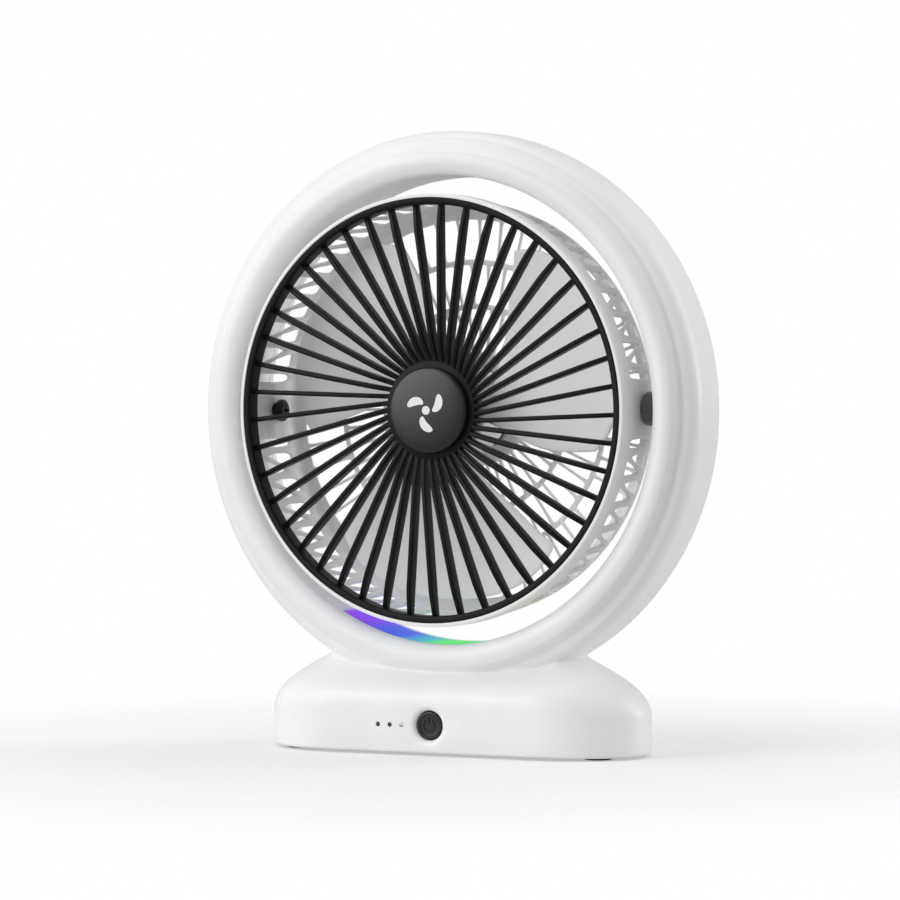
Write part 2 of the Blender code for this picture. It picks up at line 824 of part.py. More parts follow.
def buildBasket(material, parent):
    outer = barrelRadius
    rear = basketRearRadius
    seat = rimRadius + gap
    step = -rimFront + rimDepth + gap
    front = -rimFront + 0.4
    back = barrelRear + basketRearRise
    inner = outer - barrelSeat
    profile = [(outer, front), (outer, windowFront - 1.5), (outer - barrelTaper, barrelRear),
               (outer - 4.4, barrelRear + 3.2),
               (rear, back), (rear, back - 1.9), (inner - barrelTaper + 0.2, barrelRear), (inner, step),
               (seat, step), (seat, front)]
    item = revolve(profile, windowCount)
    windows = []
    pitch = 360.0 / windowCount
    for i in range(windowCount):
        angle = pitch * i
        fromPivot = min(angle % 180.0, 180.0 - angle % 180.0)
        if fromPivot > pitch:
            windows.append(windowCutter(angle, inner - 5.0, outer + 4.0))
    item = cut(item, merge(windows))
    ribs = [basketRib(360.0 * (i + 0.5) / basketRibCount) for i in range(basketRibCount)]
    item = add(item, merge(ribs))
    depth = basketRibWidth / 2
    for i in range(basketRingCount):
        radius = motorFloorRadius + (basketRearRadius - motorFloorRadius) * (i + 1) / (basketRingCount + 1)
        y = ribHeight(radius)
        half = depth * 0.8
        item = add(item, tube(radius + depth, radius - depth, y - half, y + half, segments=20))
    high = motorFloorFront + motorFloorThickness
    item = add(item, rod(motorFloorRadius, motorFloorFront, high, segments=36))
    item = cut(item, merge(motorScrewHoles(motorFloorFront - 2.0, high + 2.0)))
    item = cut(item, rod(pinRadius + gap, -outer - 5.0, outer + 5.0, "X", segments=20))
    return finish(item, "rear_basket", material, parent)


def ribHeight(radius):
    hub = motorFloorFront + motorFloorThickness / 2
    rim = barrelRear + basketRearRise - 0.95
    share = (radius - motorFloorRadius) / (basketRearRadius - motorFloorRadius)
    return hub + (rim - hub) * share


def basketRib(angle):
    half = basketRibWidth / 2
    inner, outer = motorFloorRadius - 0.8, basketRearRadius + 1.2
    rows = []
    for radius in (inner, outer):
        y = ribHeight(radius)
        rows.append([Vector((radius, y - half, -half)), Vector((radius, y + half, -half)),
                     Vector((radius, y + half, half)), Vector((radius, y - half, half))])
    item = loft(rows)
    item.data.transform(Matrix.Rotation(radians(angle), 4, Vector((0.0, -1.0, 0.0))))
    return item


def windowCutter(angle, inner, outer):
    # wide at the front, narrow at the back
    wide, narrow = windowAngle / 2, windowAngle / 2 * 0.62
    rows = []
    for radius in (inner, outer):
        rows.append([polar(radius, angle - wide, windowFront), polar(radius, angle + wide, windowFront),
                     polar(radius, angle + narrow, windowRear), polar(radius, angle - narrow, windowRear)])
    return loft(rows)


def motorScrewAngles():
    return [90.0 + 120.0 * i for i in range(3)]


def motorScrewHoles(low, high):
    places = [polar(motorScrewRadius, angle, 0.0) for angle in motorScrewAngles()]
    return [rod(motorScrewShank + screwFit, low, high, "Y", spot, 10) for spot in places]


def buildGrille(material, parent):
    back = -rimFront + rimDepth
    edge = 0.5
    inner = rimRadius - rimWidth
    profile = [(inner, -rimFront + edge), (inner + edge, -rimFront), (rimRadius - edge, -rimFront),
               (rimRadius, -rimFront + edge), (rimRadius, back), (inner, back)]
    item = revolve(profile, 60)
    hubBack = -hubRingFront + hubRingDepth
    spokes = [grilleSpoke(spokeFirstAngle + 360.0 * i / spokeCount) for i in range(spokeCount)]
    hub = tube(hubRingRadius, capStubRadius + gap, -hubRingFront, hubBack, segments=45)
    item = add(item, merge(spokes))
    item = add(item, hub)
    return finish(item, "front_grille", material, parent)


def grilleSpoke(direction):
    # an upright blade on a line that passes the axis at spokeOffset
    start = hubRingRadius - 0.9
    end = rimRadius - rimWidth * 0.5
    half = spokeWidth / 2
    back = -spokeFront + spokeRimDepth
    hubFront = -hubRingFront + 0.2
    outline = [(start, hubFront), (start + 8.0, -spokeFront), (end, -spokeFront), (end, back),
               (start, hubFront + spokeHubDepth)]
    rows = []
    for side in (-half, half):
        loop = []
        for radius, y in outline:
            along = sqrt(radius * radius - spokeOffset * spokeOffset)
            loop.append(Vector((along, y, side - spokeOffset)))
        rows.append(loop)
    item = loft(rows)
    item.data.transform(Matrix.Rotation(radians(direction), 4, Vector((0.0, -1.0, 0.0))))
    return item


def buildCap(material, parent):
    face = -rimFront - capProud
    back = -hubRingFront - gap
    edge = 0.9
    stub = back + hubRingDepth
    profile = [(0.0, face), (capRadius - edge, face + 0.15), (capRadius - 0.25, face + 0.5),
               (capRadius, face + edge + 0.3), (capRadius, back), (capStubRadius, back), (capStubRadius, stub),
               (0.0, stub)]
    finish(revolve(profile, 32), "grille_cap", material, parent)


def motorBaseRear():
    return motorFloorFront - gap


def buildMotorFixed(materials, parent):
    rear = motorBaseRear()
    front = rear - motorBaseThickness
    sleeveEnd = rear - 1.5
    item = tube(motorBaseRadius, sleeveRadius + gap, front, rear, segments=32)
    item = cut(item, merge(motorScrewHoles(front - 1.0, rear + 1.0)))
    finish(item, "motor_base", materials["steel"], parent)
    boardBack = front - gap
    boardFront = boardBack - motorBoardThickness
    finish(tube(motorBaseRadius - 1.5, sleeveRadius + gap, boardFront, boardBack, segments=32),
           "motor_board", materials["board"], parent)
    statorRear = boardFront - 1.9
    finish(statorCore(statorRear - statorLength, statorRear), "stator_core", materials["copper"], parent)
    sleeveFront = statorRear - statorLength - 2.0
    finish(tube(sleeveRadius, shaftRadius + runFit, sleeveFront, sleeveEnd, segments=24),
           "bearing_sleeve", materials["brass"], parent)
    for number, angle in enumerate(motorScrewAngles(), 1):
        low = motorFloorFront + motorFloorThickness + gap
        item = screw(motorScrewHead, 1.2, motorScrewShank, low + 1.2 - front - 0.5, "Y", True)
        item.data.transform(Matrix.Translation(polar(motorScrewRadius, angle, low + 1.2)))
        finish(item, f"motor_screw_{number}", materials["steel"], parent)
    return sleeveFront, sleeveEnd, statorRear


def rotorInnerRadius():
    return fanHubRadius - fanHubWall - gap - cupWall


def statorCore(low, high):
    # a ring with T-shaped poles, wound; the copper is part of the same lump
    tip = rotorInnerRadius() - gap - magnetThickness - airGap
    item = tube(tip * 0.62, sleeveRadius + gap, low, high, segments=24)
    poles = []
    for i in range(statorPoles):
        arm = box((tip * 0.5, low + 0.8, -1.7), (tip - 1.0, high - 0.8, 1.7))
        head = box((tip - 1.6, low + 0.5, -3.6), (tip * 0.94, high - 0.5, 3.6))
        arm = add(arm, head)
        arm.data.transform(Matrix.Rotation(2 * pi * i / statorPoles, 4, Vector((0.0, -1.0, 0.0))))
        poles.append(arm)
    return add(item, merge(poles))


def buildMotorCover(material, parent):
    low = motorFloorFront + motorFloorThickness + gap
    high = low + motorCoverHeight
    inner = motorCoverRadius - motorCoverWall
    edge = 0.8
    outer = motorCoverRadius
    roof = high - motorCoverWall
    profile = [(0.0, roof), (inner, roof), (inner, low), (outer, low), (outer, high - edge),
               (outer - edge, high), (0.0, high)]
    finish(revolve(profile, 36), "motor_rear_cover", material, parent)


def buildPivots(materials, parent):
    wallInner = barrelInnerAt(pinHeadRadius)
    wallOuter = barrelOuterAt(-bushRadius)
    socketStart = linerOuterRadius + gap
    step = socketStart + socketStep
    nutLow = step + socketFloor + 2 * gap + washerThickness
    head = wallInner - gap - pinHeadThickness
    for name, side in (("left", -1.0), ("right", 1.0)):
        end = nutLow + nutThickness + 0.4
        profile = [(0.0, head), (pinHeadRadius, head), (pinHeadRadius, head + pinHeadThickness),
                   (pinRadius, head + pinHeadThickness), (pinRadius, end), (0.0, end)]
        item = revolve([(r, side * x) for r, x in profile], 24, "X")
        finish(item, f"pivot_pin_{name}", materials["grey"], parent)
        low, high = wallOuter + gap, step - gap
        item = tube(bushRadius, pinRadius + gap, side * low, side * high, "X", segments=24)
        finish(item, f"pivot_bush_{name}", materials["grey"], parent)
        item = hexNut(side * nutLow, side * (nutLow + nutThickness))
        finish(item, f"pivot_nut_{name}", materials["steel"], parent)


def hexNut(low, high):
    # six flats outside, a round bore inside
    nut = rod(nutRadius, low, high, "X", segments=6)
    return cut(nut, rod(pinRadius + gap, low - (high - low), high + (high - low), "X", segments=20))


# ---- fan ---------------------------------------------------------------------------------

def blade(angle):
    # a pitched, cambered sheet with a rounded tip, then given its thickness
    bm = bmesh.new()
    across, out = 6, 4
    rows = []
    tipRadius = barrelInnerAt(barrelRear) - bladeSpace
    root = fanHubRadius - fanHubWall * 0.6
    for j in range(out + 1):
        v = j / out
        lean = bladeLean * (v - 0.5)
        spread = bladeSweep * (bladeRootShare + (1.0 - bladeRootShare) * sin(pi * min(v * 0.75, 0.5)))
        row = []
        for i in range(across + 1):
            u = i / across - 0.5
            tip = tipRadius - bladeCornerCut * (2 * u) ** 4
            radius = root + (tip - root) * v
            flat = 1.0 - bladeTwist * v
            y = (bladeFront + bladeRear) / 2 + (bladeRear - bladeFront) * u * flat
            row.append(bm.verts.new(polar(radius, angle + spread * u + lean, y)))
        rows.append(row)
    for low, high in zip(rows, rows[1:]):
        for i in range(across):
            bm.faces.new((low[i], low[i + 1], high[i + 1], high[i]))
    bmesh.ops.recalc_face_normals(bm, faces=bm.faces)
    item = toObject(bm)
    modifier = item.modifiers.new("thickness", "SOLIDIFY")
    modifier.thickness = bladeThickness
    modifier.offset = 0.0
    bpy.context.view_layer.objects.active = item
    bpy.ops.object.modifier_apply(modifier=modifier.name)
    return item


def buildFan(materials, parent, sleeveFront, sleeveEnd, statorRear):
    inner = fanHubRadius - fanHubWall
    bore = shaftRadius + gap
    edge = 1.5
    face = fanHubFront + fanHubFace
    profile = [(bore, fanHubFront), (fanHubRadius - edge, fanHubFront), (fanHubRadius, fanHubFront + edge),
               (fanHubRadius, fanHubRear), (inner, fanHubRear), (inner, face), (bore, face)]
    item = revolve(profile, 36)
    blades = merge([blade(bladeFirstAngle + 360.0 * i / bladeCount) for i in range(bladeCount)])
    clear = rod(inner - 0.01, fanHubFront - 20.0, fanHubRear + 20.0, segments=36)
    item = add(item, cut(blades, clear))
    finish(item, "fan_blades", materials["blade"], parent, angle=25.0)
    cupOuter = inner - gap
    cupFront = face + gap
    cupInner = cupOuter - cupWall
    cupRear = fanHubRear - 0.2
    profile = [(bore, cupFront), (cupOuter, cupFront), (cupOuter, cupRear), (cupInner, cupRear),
               (cupInner, cupFront + cupWall), (bore, cupFront + cupWall)]
    finish(revolve(profile, 36), "rotor_cup", materials["steel"], parent)
    magnetOuter = cupInner - gap
    magnetInner = magnetOuter - magnetThickness
    item = tube(magnetOuter, magnetInner, statorRear - magnetLength, statorRear, segments=36)
    finish(item, "rotor_magnet", materials["grey"], parent)
    clipLow = sleeveEnd + gap
    shaftEnd = clipLow + clipThickness + 0.4
    item = rod(shaftRadius, fanHubFront - 0.6, shaftEnd, segments=24)
    finish(item, "motor_shaft", materials["steel"], parent)
    item = tube(clipRadius, shaftRadius + gap, clipLow, clipLow + clipThickness)
    finish(item, "shaft_clip", materials["steel"], parent)


def main():
    clearScene()
    white = makeMaterial("white_plastic", (0.86, 0.87, 0.88), 0.32)
    diffuser = makeMaterial("light_diffuser", (0.80, 0.82, 0.88), 0.45)
    black = makeMaterial("black_plastic", (0.012, 0.012, 0.013), 0.38)
    grey = makeMaterial("grey_plastic", (0.045, 0.047, 0.05), 0.4)
    pale = makeMaterial("blade_plastic", (0.62, 0.63, 0.64), 0.35)
    rubber = makeMaterial("rubber", (0.03, 0.03, 0.03), 0.85)
    steel = makeMaterial("steel", (0.55, 0.56, 0.57), 0.3, 1.0)
    brass = makeMaterial("brass", (0.72, 0.52, 0.24), 0.35, 1.0)
    copper = makeMaterial("copper_winding", (0.62, 0.30, 0.16), 0.4, 1.0)
    board = makeMaterial("circuit_board", (0.03, 0.16, 0.06), 0.5)
    wrap = makeMaterial("battery_wrap", (0.05, 0.22, 0.50), 0.4)
    clear = makeMaterial("clear_plastic", (0.30, 0.31, 0.33), 0.15)

    shell = standShell()
    twin = shell.copy()
    twin.data = shell.data.copy()
    bpy.context.collection.objects.link(twin)
    buildFrontShell(shell, white)
    buildRearShell(twin, white)
    buildBottomCover(white)
    buildFeet(rubber)
    buildStandScrews(steel)
    buildLiner(white)
    buildDiffuser(diffuser)
    buildLedStrip(board)
    buildPivotSockets(grey, rubber)
    buildBattery(wrap, grey)
    buildControlBoard(board, grey)
    buildChargingPort(board, steel, black)
    buildLightPipe(clear)
    buildButton(grey, black)

    headAxis = bpy.data.objects.new("head_tilt_axis", None)
    bpy.context.collection.objects.link(headAxis)
    headAxis.location = hubPoint * mm
    fanAxis = bpy.data.objects.new("fan_spin_axis", None)
    bpy.context.collection.objects.link(fanAxis)
    fanAxis.parent = headAxis
    parts = {"steel": steel, "board": board, "brass": brass, "copper": copper, "grey": grey, "blade": pale}
    buildBasket(white, headAxis)
    buildGrille(black, headAxis)
    buildCap(grey, headAxis)
    sleeveFront, sleeveEnd, statorRear = buildMotorFixed(parts, headAxis)
    buildMotorCover(white, headAxis)
    buildPivots(parts, headAxis)
    buildFan(parts, fanAxis, sleeveFront, sleeveEnd, statorRear)


main()
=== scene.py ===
import json
from math import atan2, cos, pi, radians, sin, sqrt, tan

import bmesh
import bpy
from mathutils import Matrix, Vector

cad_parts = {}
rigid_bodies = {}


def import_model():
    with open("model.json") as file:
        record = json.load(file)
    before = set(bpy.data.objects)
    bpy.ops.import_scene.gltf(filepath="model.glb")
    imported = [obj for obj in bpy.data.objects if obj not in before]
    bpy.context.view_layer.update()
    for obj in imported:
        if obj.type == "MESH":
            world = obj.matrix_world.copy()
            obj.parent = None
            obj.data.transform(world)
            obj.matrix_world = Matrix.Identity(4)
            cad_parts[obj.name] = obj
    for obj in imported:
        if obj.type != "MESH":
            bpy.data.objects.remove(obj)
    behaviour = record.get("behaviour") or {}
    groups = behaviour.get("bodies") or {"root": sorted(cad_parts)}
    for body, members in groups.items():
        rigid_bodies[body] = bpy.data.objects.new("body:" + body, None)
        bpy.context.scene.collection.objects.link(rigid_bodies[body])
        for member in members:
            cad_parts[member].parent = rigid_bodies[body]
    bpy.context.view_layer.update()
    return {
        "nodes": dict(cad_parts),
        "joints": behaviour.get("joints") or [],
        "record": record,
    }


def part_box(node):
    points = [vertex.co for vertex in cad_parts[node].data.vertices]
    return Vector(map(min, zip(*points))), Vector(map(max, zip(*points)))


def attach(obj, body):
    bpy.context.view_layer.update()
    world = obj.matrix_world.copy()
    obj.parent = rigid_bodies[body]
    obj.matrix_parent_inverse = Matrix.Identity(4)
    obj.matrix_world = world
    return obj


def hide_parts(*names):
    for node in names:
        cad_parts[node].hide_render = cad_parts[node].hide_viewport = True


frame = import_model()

# A small rechargeable desk fan. The head tilts on two side pivots inside a ring that stands on an oblong base.
# Sizes are in millimetres and are multiplied by mm where a mesh is made. Angles are in degrees, seen from the
# front, from +X towards +Z.

mm = 0.001
joints = {joint["name"]: joint for joint in frame["joints"]}
hub = Vector(joints["head_tilt"]["pos_m"]) / mm        # where the tilt axis and the fan axis cross
frontBox = [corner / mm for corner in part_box("body_front_shell")]

print("frame loaded, hub at", [round(value, 1) for value in hub])


def deselect():
    bpy.ops.object.select_all(action="DESELECT")


def pick(piece):
    deselect()
    piece.select_set(True)
    bpy.context.view_layer.objects.active = piece


def named(name):
    piece = bpy.context.object
    piece.name = name
    piece.data.name = name
    return piece


def applied(piece, kind, **settings):
    pick(piece)
    modifier = piece.modifiers.new(kind.lower(), kind)
    for key, value in settings.items():
        setattr(modifier, key, value)
    bpy.ops.object.modifier_apply(modifier=modifier.name)
    return piece


def cut(piece, *tools):
    for tool in tools:
        applied(piece, "BOOLEAN", operation="DIFFERENCE", solver="EXACT", object=tool)
        bpy.data.objects.remove(tool)
    return piece


def united(piece, *others):
    for other in others:
        applied(piece, "BOOLEAN", operation="UNION", solver="EXACT", object=other)
        bpy.data.objects.remove(other)
    return piece


def joined(name, pieces):
    deselect()
    for piece in pieces:
        piece.select_set(True)
    bpy.context.view_layer.objects.active = pieces[0]
    if len(pieces) > 1:
        bpy.ops.object.join()
    return named(name)


def copied(piece, name):
    twin = piece.copy()
    twin.data = piece.data.copy()
    twin.name = name
    bpy.context.scene.collection.objects.link(twin)
    return twin


def moved(piece, offset=(0, 0, 0), turn=0.0, axis="Y"):
    # turns the mesh about an axis through the origin, then shifts it by millimetres
    piece.data.transform(Matrix.Translation(Vector(offset) * mm) @ Matrix.Rotation(radians(turn), 4, axis))
    return piece


def spun(piece, angle):
    # counter-clockwise about the fan axis, as seen from the front
    return moved(piece, turn=-angle, axis="Y")


def editAll(piece):
    pick(piece)
    bpy.ops.object.mode_set(mode="EDIT")
    bpy.ops.mesh.select_all(action="SELECT")


def tidied(piece, doubles=0.00001):
    editAll(piece)
    bpy.ops.mesh.remove_doubles(threshold=doubles)
    bpy.ops.mesh.delete_loose()
    bpy.ops.mesh.select_all(action="SELECT")
    bpy.ops.mesh.normals_make_consistent(inside=False)
    bpy.ops.object.mode_set(mode="OBJECT")
    return piece


def closed(piece):
    # fills any four-sided hole that a cut has left in a wall
    editAll(piece)
    bpy.ops.mesh.fill_holes(sides=4)
    bpy.ops.object.mode_set(mode="OBJECT")
    return piece


def smoothed(piece, angle=30.0):
    pick(piece)
    bpy.ops.object.shade_smooth_by_angle(angle=radians(angle))
    return piece


def arc(centre, radii, start, end, steps):
    # points of an ellipse's arc in an outline
    points = []
    for i in range(steps + 1):
        t = radians(start + (end - start) * i / steps)
        points.append((centre[0] + radii[0] * cos(t), centre[1] + radii[1] * sin(t)))
    return points


def filleted(corners, steps=5):
    # corners are (across, along) or (across, along, radius); each radius becomes an arc
    outline = []
    count = len(corners)
    for i, corner in enumerate(corners):
        here = Vector(corner[:2])
        radius = corner[2] if len(corner) > 2 else 0.0
        if radius == 0.0:
            outline.append(tuple(here))
            continue
        back = (Vector(corners[i - 1][:2]) - here).normalized()
        ahead = (Vector(corners[(i + 1) % count][:2]) - here).normalized()
        half = back.angle(ahead) / 2
        centre = here + (back + ahead).normalized() * radius / sin(half)
        first = here + back * radius / tan(half) - centre
        last = here + ahead * radius / tan(half) - centre
        swing = last.angle_signed(first)
        for k in range(steps + 1):
            outline.append(tuple(centre + Matrix.Rotation(swing * k / steps, 2) @ first))
    return outline


def turned(name, outline, steps=96, at=(0, 0, 0), axis="Y", start=0.0, sweep=360.0):
    # a closed outline of (radius, along) is drawn on a ring of vertices and spun round its axis
    deselect()
    whole = sweep >= 360.0
    fill = "NOTHING" if whole else "NGON"
    bpy.ops.mesh.primitive_circle_add(vertices=len(outline), radius=0.01, fill_type=fill)
    piece = named(name)
    for vertex, (radius, along) in zip(piece.data.vertices, outline):
        vertex.co = Vector((radius, along, 0.0)) * mm
    spun(piece, start)
    editAll(piece)
    bpy.ops.mesh.spin(steps=steps, angle=radians(sweep), center=(0, 0, 0), axis=(0, 1, 0))
    bpy.ops.object.mode_set(mode="OBJECT")
    tidied(piece)
    if axis == "X":
        moved(piece, turn=-90.0, axis="Z")
    if axis == "Z":
        moved(piece, turn=90.0, axis="X")
    return moved(piece, at)


def rod(name, radius, low, high, steps=64, at=(0, 0, 0), axis="Y", edge=0.0):
    corners = [(0.0, low), (radius, low, edge), (radius, high, edge), (0.0, high)]
    return turned(name, filleted(corners), steps, at, axis)


def block(name, low, high, edge=0.0):
    deselect()
    size = Vector(high) - Vector(low)
    middle = Vector(low) + size / 2
    bpy.ops.mesh.primitive_cube_add(size=1.0, location=middle * mm)
    piece = named(name)
    bpy.ops.transform.resize(value=size * mm)
    bpy.ops.object.transform_apply(location=True, rotation=True, scale=True)
    if edge:
        applied(piece, "BEVEL", width=edge * mm, segments=3)
    return piece


def hexColour(text):
    channels = [int(text[i:i + 2], 16) / 255 for i in (0, 2, 4)]
    linear = [c / 12.92 if c <= 0.04045 else ((c + 0.055) / 1.055) ** 2.4 for c in channels]
    return (*linear, 1.0)


def addNode(owner, kind, settings, **links):
    # settings go to the socket or the property of that name; links name an input and its source
    node = owner.node_tree.nodes.new("ShaderNode" + kind)
    for key, value in settings.items():
        if key in node.inputs:
            node.inputs[key].default_value = value
        else:
            setattr(node, key, value)
    for key, source in links.items():
        socket = node.inputs[int(key[1:])] if key[1:].isdigit() else node.inputs[key.replace("_", " ")]
        owner.node_tree.links.new(source, socket)
    return node


def wired(material, shader, **sources):
    # leads each source to the shader's input of that name
    for key, source in sources.items():
        material.node_tree.links.new(source, shader.inputs[key.replace("_", " ")])
    return material


def surface(name, settings):
    material = bpy.data.materials.new(name)
    material.use_nodes = True
    shader = material.node_tree.nodes["Principled BSDF"]
    for key, value in settings.items():
        shader.inputs[key].default_value = value
    return material, shader


def perMetre(size):
    # how often a pattern of a real size in millimetres repeats in a metre
    return 1.0 / (size * mm)


def mottled(material, shader, dark, light, grain, roughness, bump, height):
    # colour between two near tones, gloss and relief from one fine noise in object space
    place = addNode(material, "TexCoord", {}).outputs["Object"]
    cloud = addNode(material, "TexNoise", {"Scale": perMetre(25.0), "Detail": 3.0}, Vector=place)
    fine = addNode(material, "TexNoise", {"Scale": perMetre(grain), "Detail": 2.0}, Vector=place)
    tone = addNode(material, "ValToRGB", {}, Fac=cloud.outputs["Fac"])
    tone.color_ramp.elements[0].position = 0.35
    tone.color_ramp.elements[1].position = 0.65
    tone.color_ramp.elements[0].color = hexColour(dark)
    tone.color_ramp.elements[1].color = hexColour(light)
    gloss = addNode(material, "MapRange", {"To Min": roughness[0], "To Max": roughness[1]},
                    Value=fine.outputs["Fac"])
    relief = addNode(material, "Bump", {"Strength": bump, "Distance": height * mm}, Height=fine.outputs["Fac"])
    return wired(material, shader, Base_Color=tone.outputs["Color"], Roughness=gloss.outputs["Result"],
                 Normal=relief.outputs["Normal"])


def whiteAbs():
    # ABS moulded in a fine-blasted tool: bright white, satin, with a barely visible orange peel
    material, shader = surface("whiteAbsSatin", {"IOR": 1.54, "Specular IOR Level": 0.4})
    return mottled(material, shader, "F1F1F2", "F5F5F6", 0.9, (0.34, 0.40), 0.04, 0.02)


def blackAbs():
    # black ABS from a polished tool: deep black with soft grey highlights
    material, shader = surface("blackAbsPolished", {"IOR": 1.54, "Specular IOR Level": 0.14})
    return mottled(material, shader, "050506", "09090A", 0.6, (0.36, 0.44), 0.05, 0.01)


def greyAbs():
    # dark grey ABS from a spark-eroded tool: an even, fine grain that scatters highlights
    material, shader = surface("greyAbsEroded", {"IOR": 1.54, "Specular IOR Level": 0.4})
    return mottled(material, shader, "151618", "1A1B1D", 0.35, (0.26, 0.34), 0.05, 0.01)


def bladePolypropylene():
    # pale grey polypropylene: waxy, a little light goes through the thin blades
    material, shader = surface("bladePolypropylene", {
        "IOR": 1.49, "Subsurface Weight": 0.5, "Subsurface Radius": (1.0, 1.0, 1.0),
        "Subsurface Scale": 2.0 * mm})
    return mottled(material, shader, "F0F1F2", "F4F5F6", 1.4, (0.34, 0.42), 0.05, 0.03)


def greyAcetal():
    # mid-grey acetal, turned: smooth and slightly waxy
    material, shader = surface("greyAcetal", {"IOR": 1.48})
    return mottled(material, shader, "5C5E61", "66686B", 0.8, (0.28, 0.36), 0.05, 0.01)


def nitrileRubber():
    # nitrile rubber from a blasted mould: matt black, slightly dusty
    material, shader = surface("nitrileRubberMatt", {"IOR": 1.52})
    return mottled(material, shader, "202122", "292A2B", 0.4, (0.75, 0.9), 0.3, 0.05)


def zincSteel():
    # zinc-plated steel: bright, bluish, with faint tumbling marks
    material, shader = surface("zincPlatedSteel", {"Metallic": 1.0})
    return mottled(material, shader, "B4B8BC", "C6C9CC", 0.25, (0.22, 0.38), 0.15, 0.01)


def sinteredBronze():
    # oil-soaked sintered bronze: open grain, soft shine
    material, shader = surface("sinteredBronze", {"Metallic": 1.0})
    return mottled(material, shader, "A9814A", "C19A5E", 0.15, (0.35, 0.55), 0.4, 0.02)


def enamelledCopper():
    # enamelled copper wire wound side by side, 0.25 mm thick
    material, shader = surface("enamelledCopperWire", {"Metallic": 1.0, "Coat Weight": 0.6})
    place = addNode(material, "TexCoord", {}).outputs["Object"]
    wires = addNode(material, "TexWave", {"Scale": perMetre(0.25) / 20, "Distortion": 1.0,
                                          "bands_direction": "Y"}, Vector=place)
    tone = addNode(material, "ValToRGB", {}, Fac=wires.outputs["Fac"])
    tone.color_ramp.elements[0].color = hexColour("7A3B1E")
    tone.color_ramp.elements[1].color = hexColour("C97E4C")
    relief = addNode(material, "Bump", {"Strength": 0.5, "Distance": 0.1 * mm}, Height=wires.outputs["Fac"])
    gloss = addNode(material, "MapRange", {"To Min": 0.25, "To Max": 0.4}, Value=wires.outputs["Fac"])
    return wired(material, shader, Base_Color=tone.outputs["Color"], Roughness=gloss.outputs["Result"],
                 Normal=relief.outputs["Normal"])


def solderMask():
    # green solder mask over copper tracks: the tracks, 0.8 mm apart, show as a lighter, raised pattern
    material, shader = surface("greenSolderMask", {"IOR": 1.5})
    place = addNode(material, "TexCoord", {}).outputs["Object"]
    tracks = addNode(material, "TexBrick", {"Scale": perMetre(4.0), "Mortar Size": 0.08, "Brick Width": 1.0,
                                            "Row Height": 0.2, "Color1": hexColour("0F4A25"),
                                            "Color2": hexColour("12532A"), "Mortar": hexColour("2B7A43")},
                     Vector=place)
    relief = addNode(material, "Bump", {"Strength": 0.3, "Distance": 0.05 * mm}, Height=tracks.outputs["Fac"])
    gloss = addNode(material, "MapRange", {"To Min": 0.3, "To Max": 0.45}, Value=tracks.outputs["Fac"])
    return wired(material, shader, Base_Color=tracks.outputs["Color"], Roughness=gloss.outputs["Result"],
                 Normal=relief.outputs["Normal"])


def shrinkSleeve():
    # blue PVC shrink sleeve: glossy, with small tension wrinkles
    material, shader = surface("bluePvcSleeve", {"IOR": 1.53, "Coat Weight": 0.3})
    return mottled(material, shader, "1F4F8F", "2A60A6", 3.0, (0.25, 0.38), 0.35, 0.1)


def smokedAcrylic():
    # smoked acrylic light pipe: dark while its lamp is off
    material, shader = surface("smokedAcrylic", {"IOR": 1.49, "Transmission Weight": 0.2})
    return mottled(material, shader, "3A3C3F", "46484B", 1.0, (0.12, 0.2), 0.05, 0.01)


def paintedWhite():
    # white pad-printed ink: flat and slightly chalky
    material, shader = surface("whitePadInk", {"IOR": 1.5})
    return mottled(material, shader, "ECEDEE", "F4F5F5", 0.2, (0.45, 0.6), 0.1, 0.01)


glow = {
    # angle round the ring, colour, and how far the lamp behind it shines: 0 is a dark lamp, 1 is full
    "stops": [(205.0, "F2F2F2", 0.0), (239.4, "F2F2F2", 0.0), (240.4, "8A3CE8", 1.0), (246.5, "7A42E6", 1.0),
              (250.5, "3C57E0", 1.0), (256.5, "3C5CE0", 1.0), (259.5, "3CA4D2", 1.0), (262.5, "3CB8C4", 1.0),
              (265.5, "4CE673", 1.0), (274.5, "4CE673", 1.0), (281.0, "F0F0EC", 0.1), (285.0, "F0DFC4", 0.3),
              (293.0, "F0D4A8", 0.4), (303.0, "F2F0EE", 0.1), (312.0, "F2F2F2", 0.0), (335.0, "F2F2F2", 0.0)],
    "strength": 0.8,
    "unlitShare": 0.22,                 # how much of the room's light the lit stretch returns
}


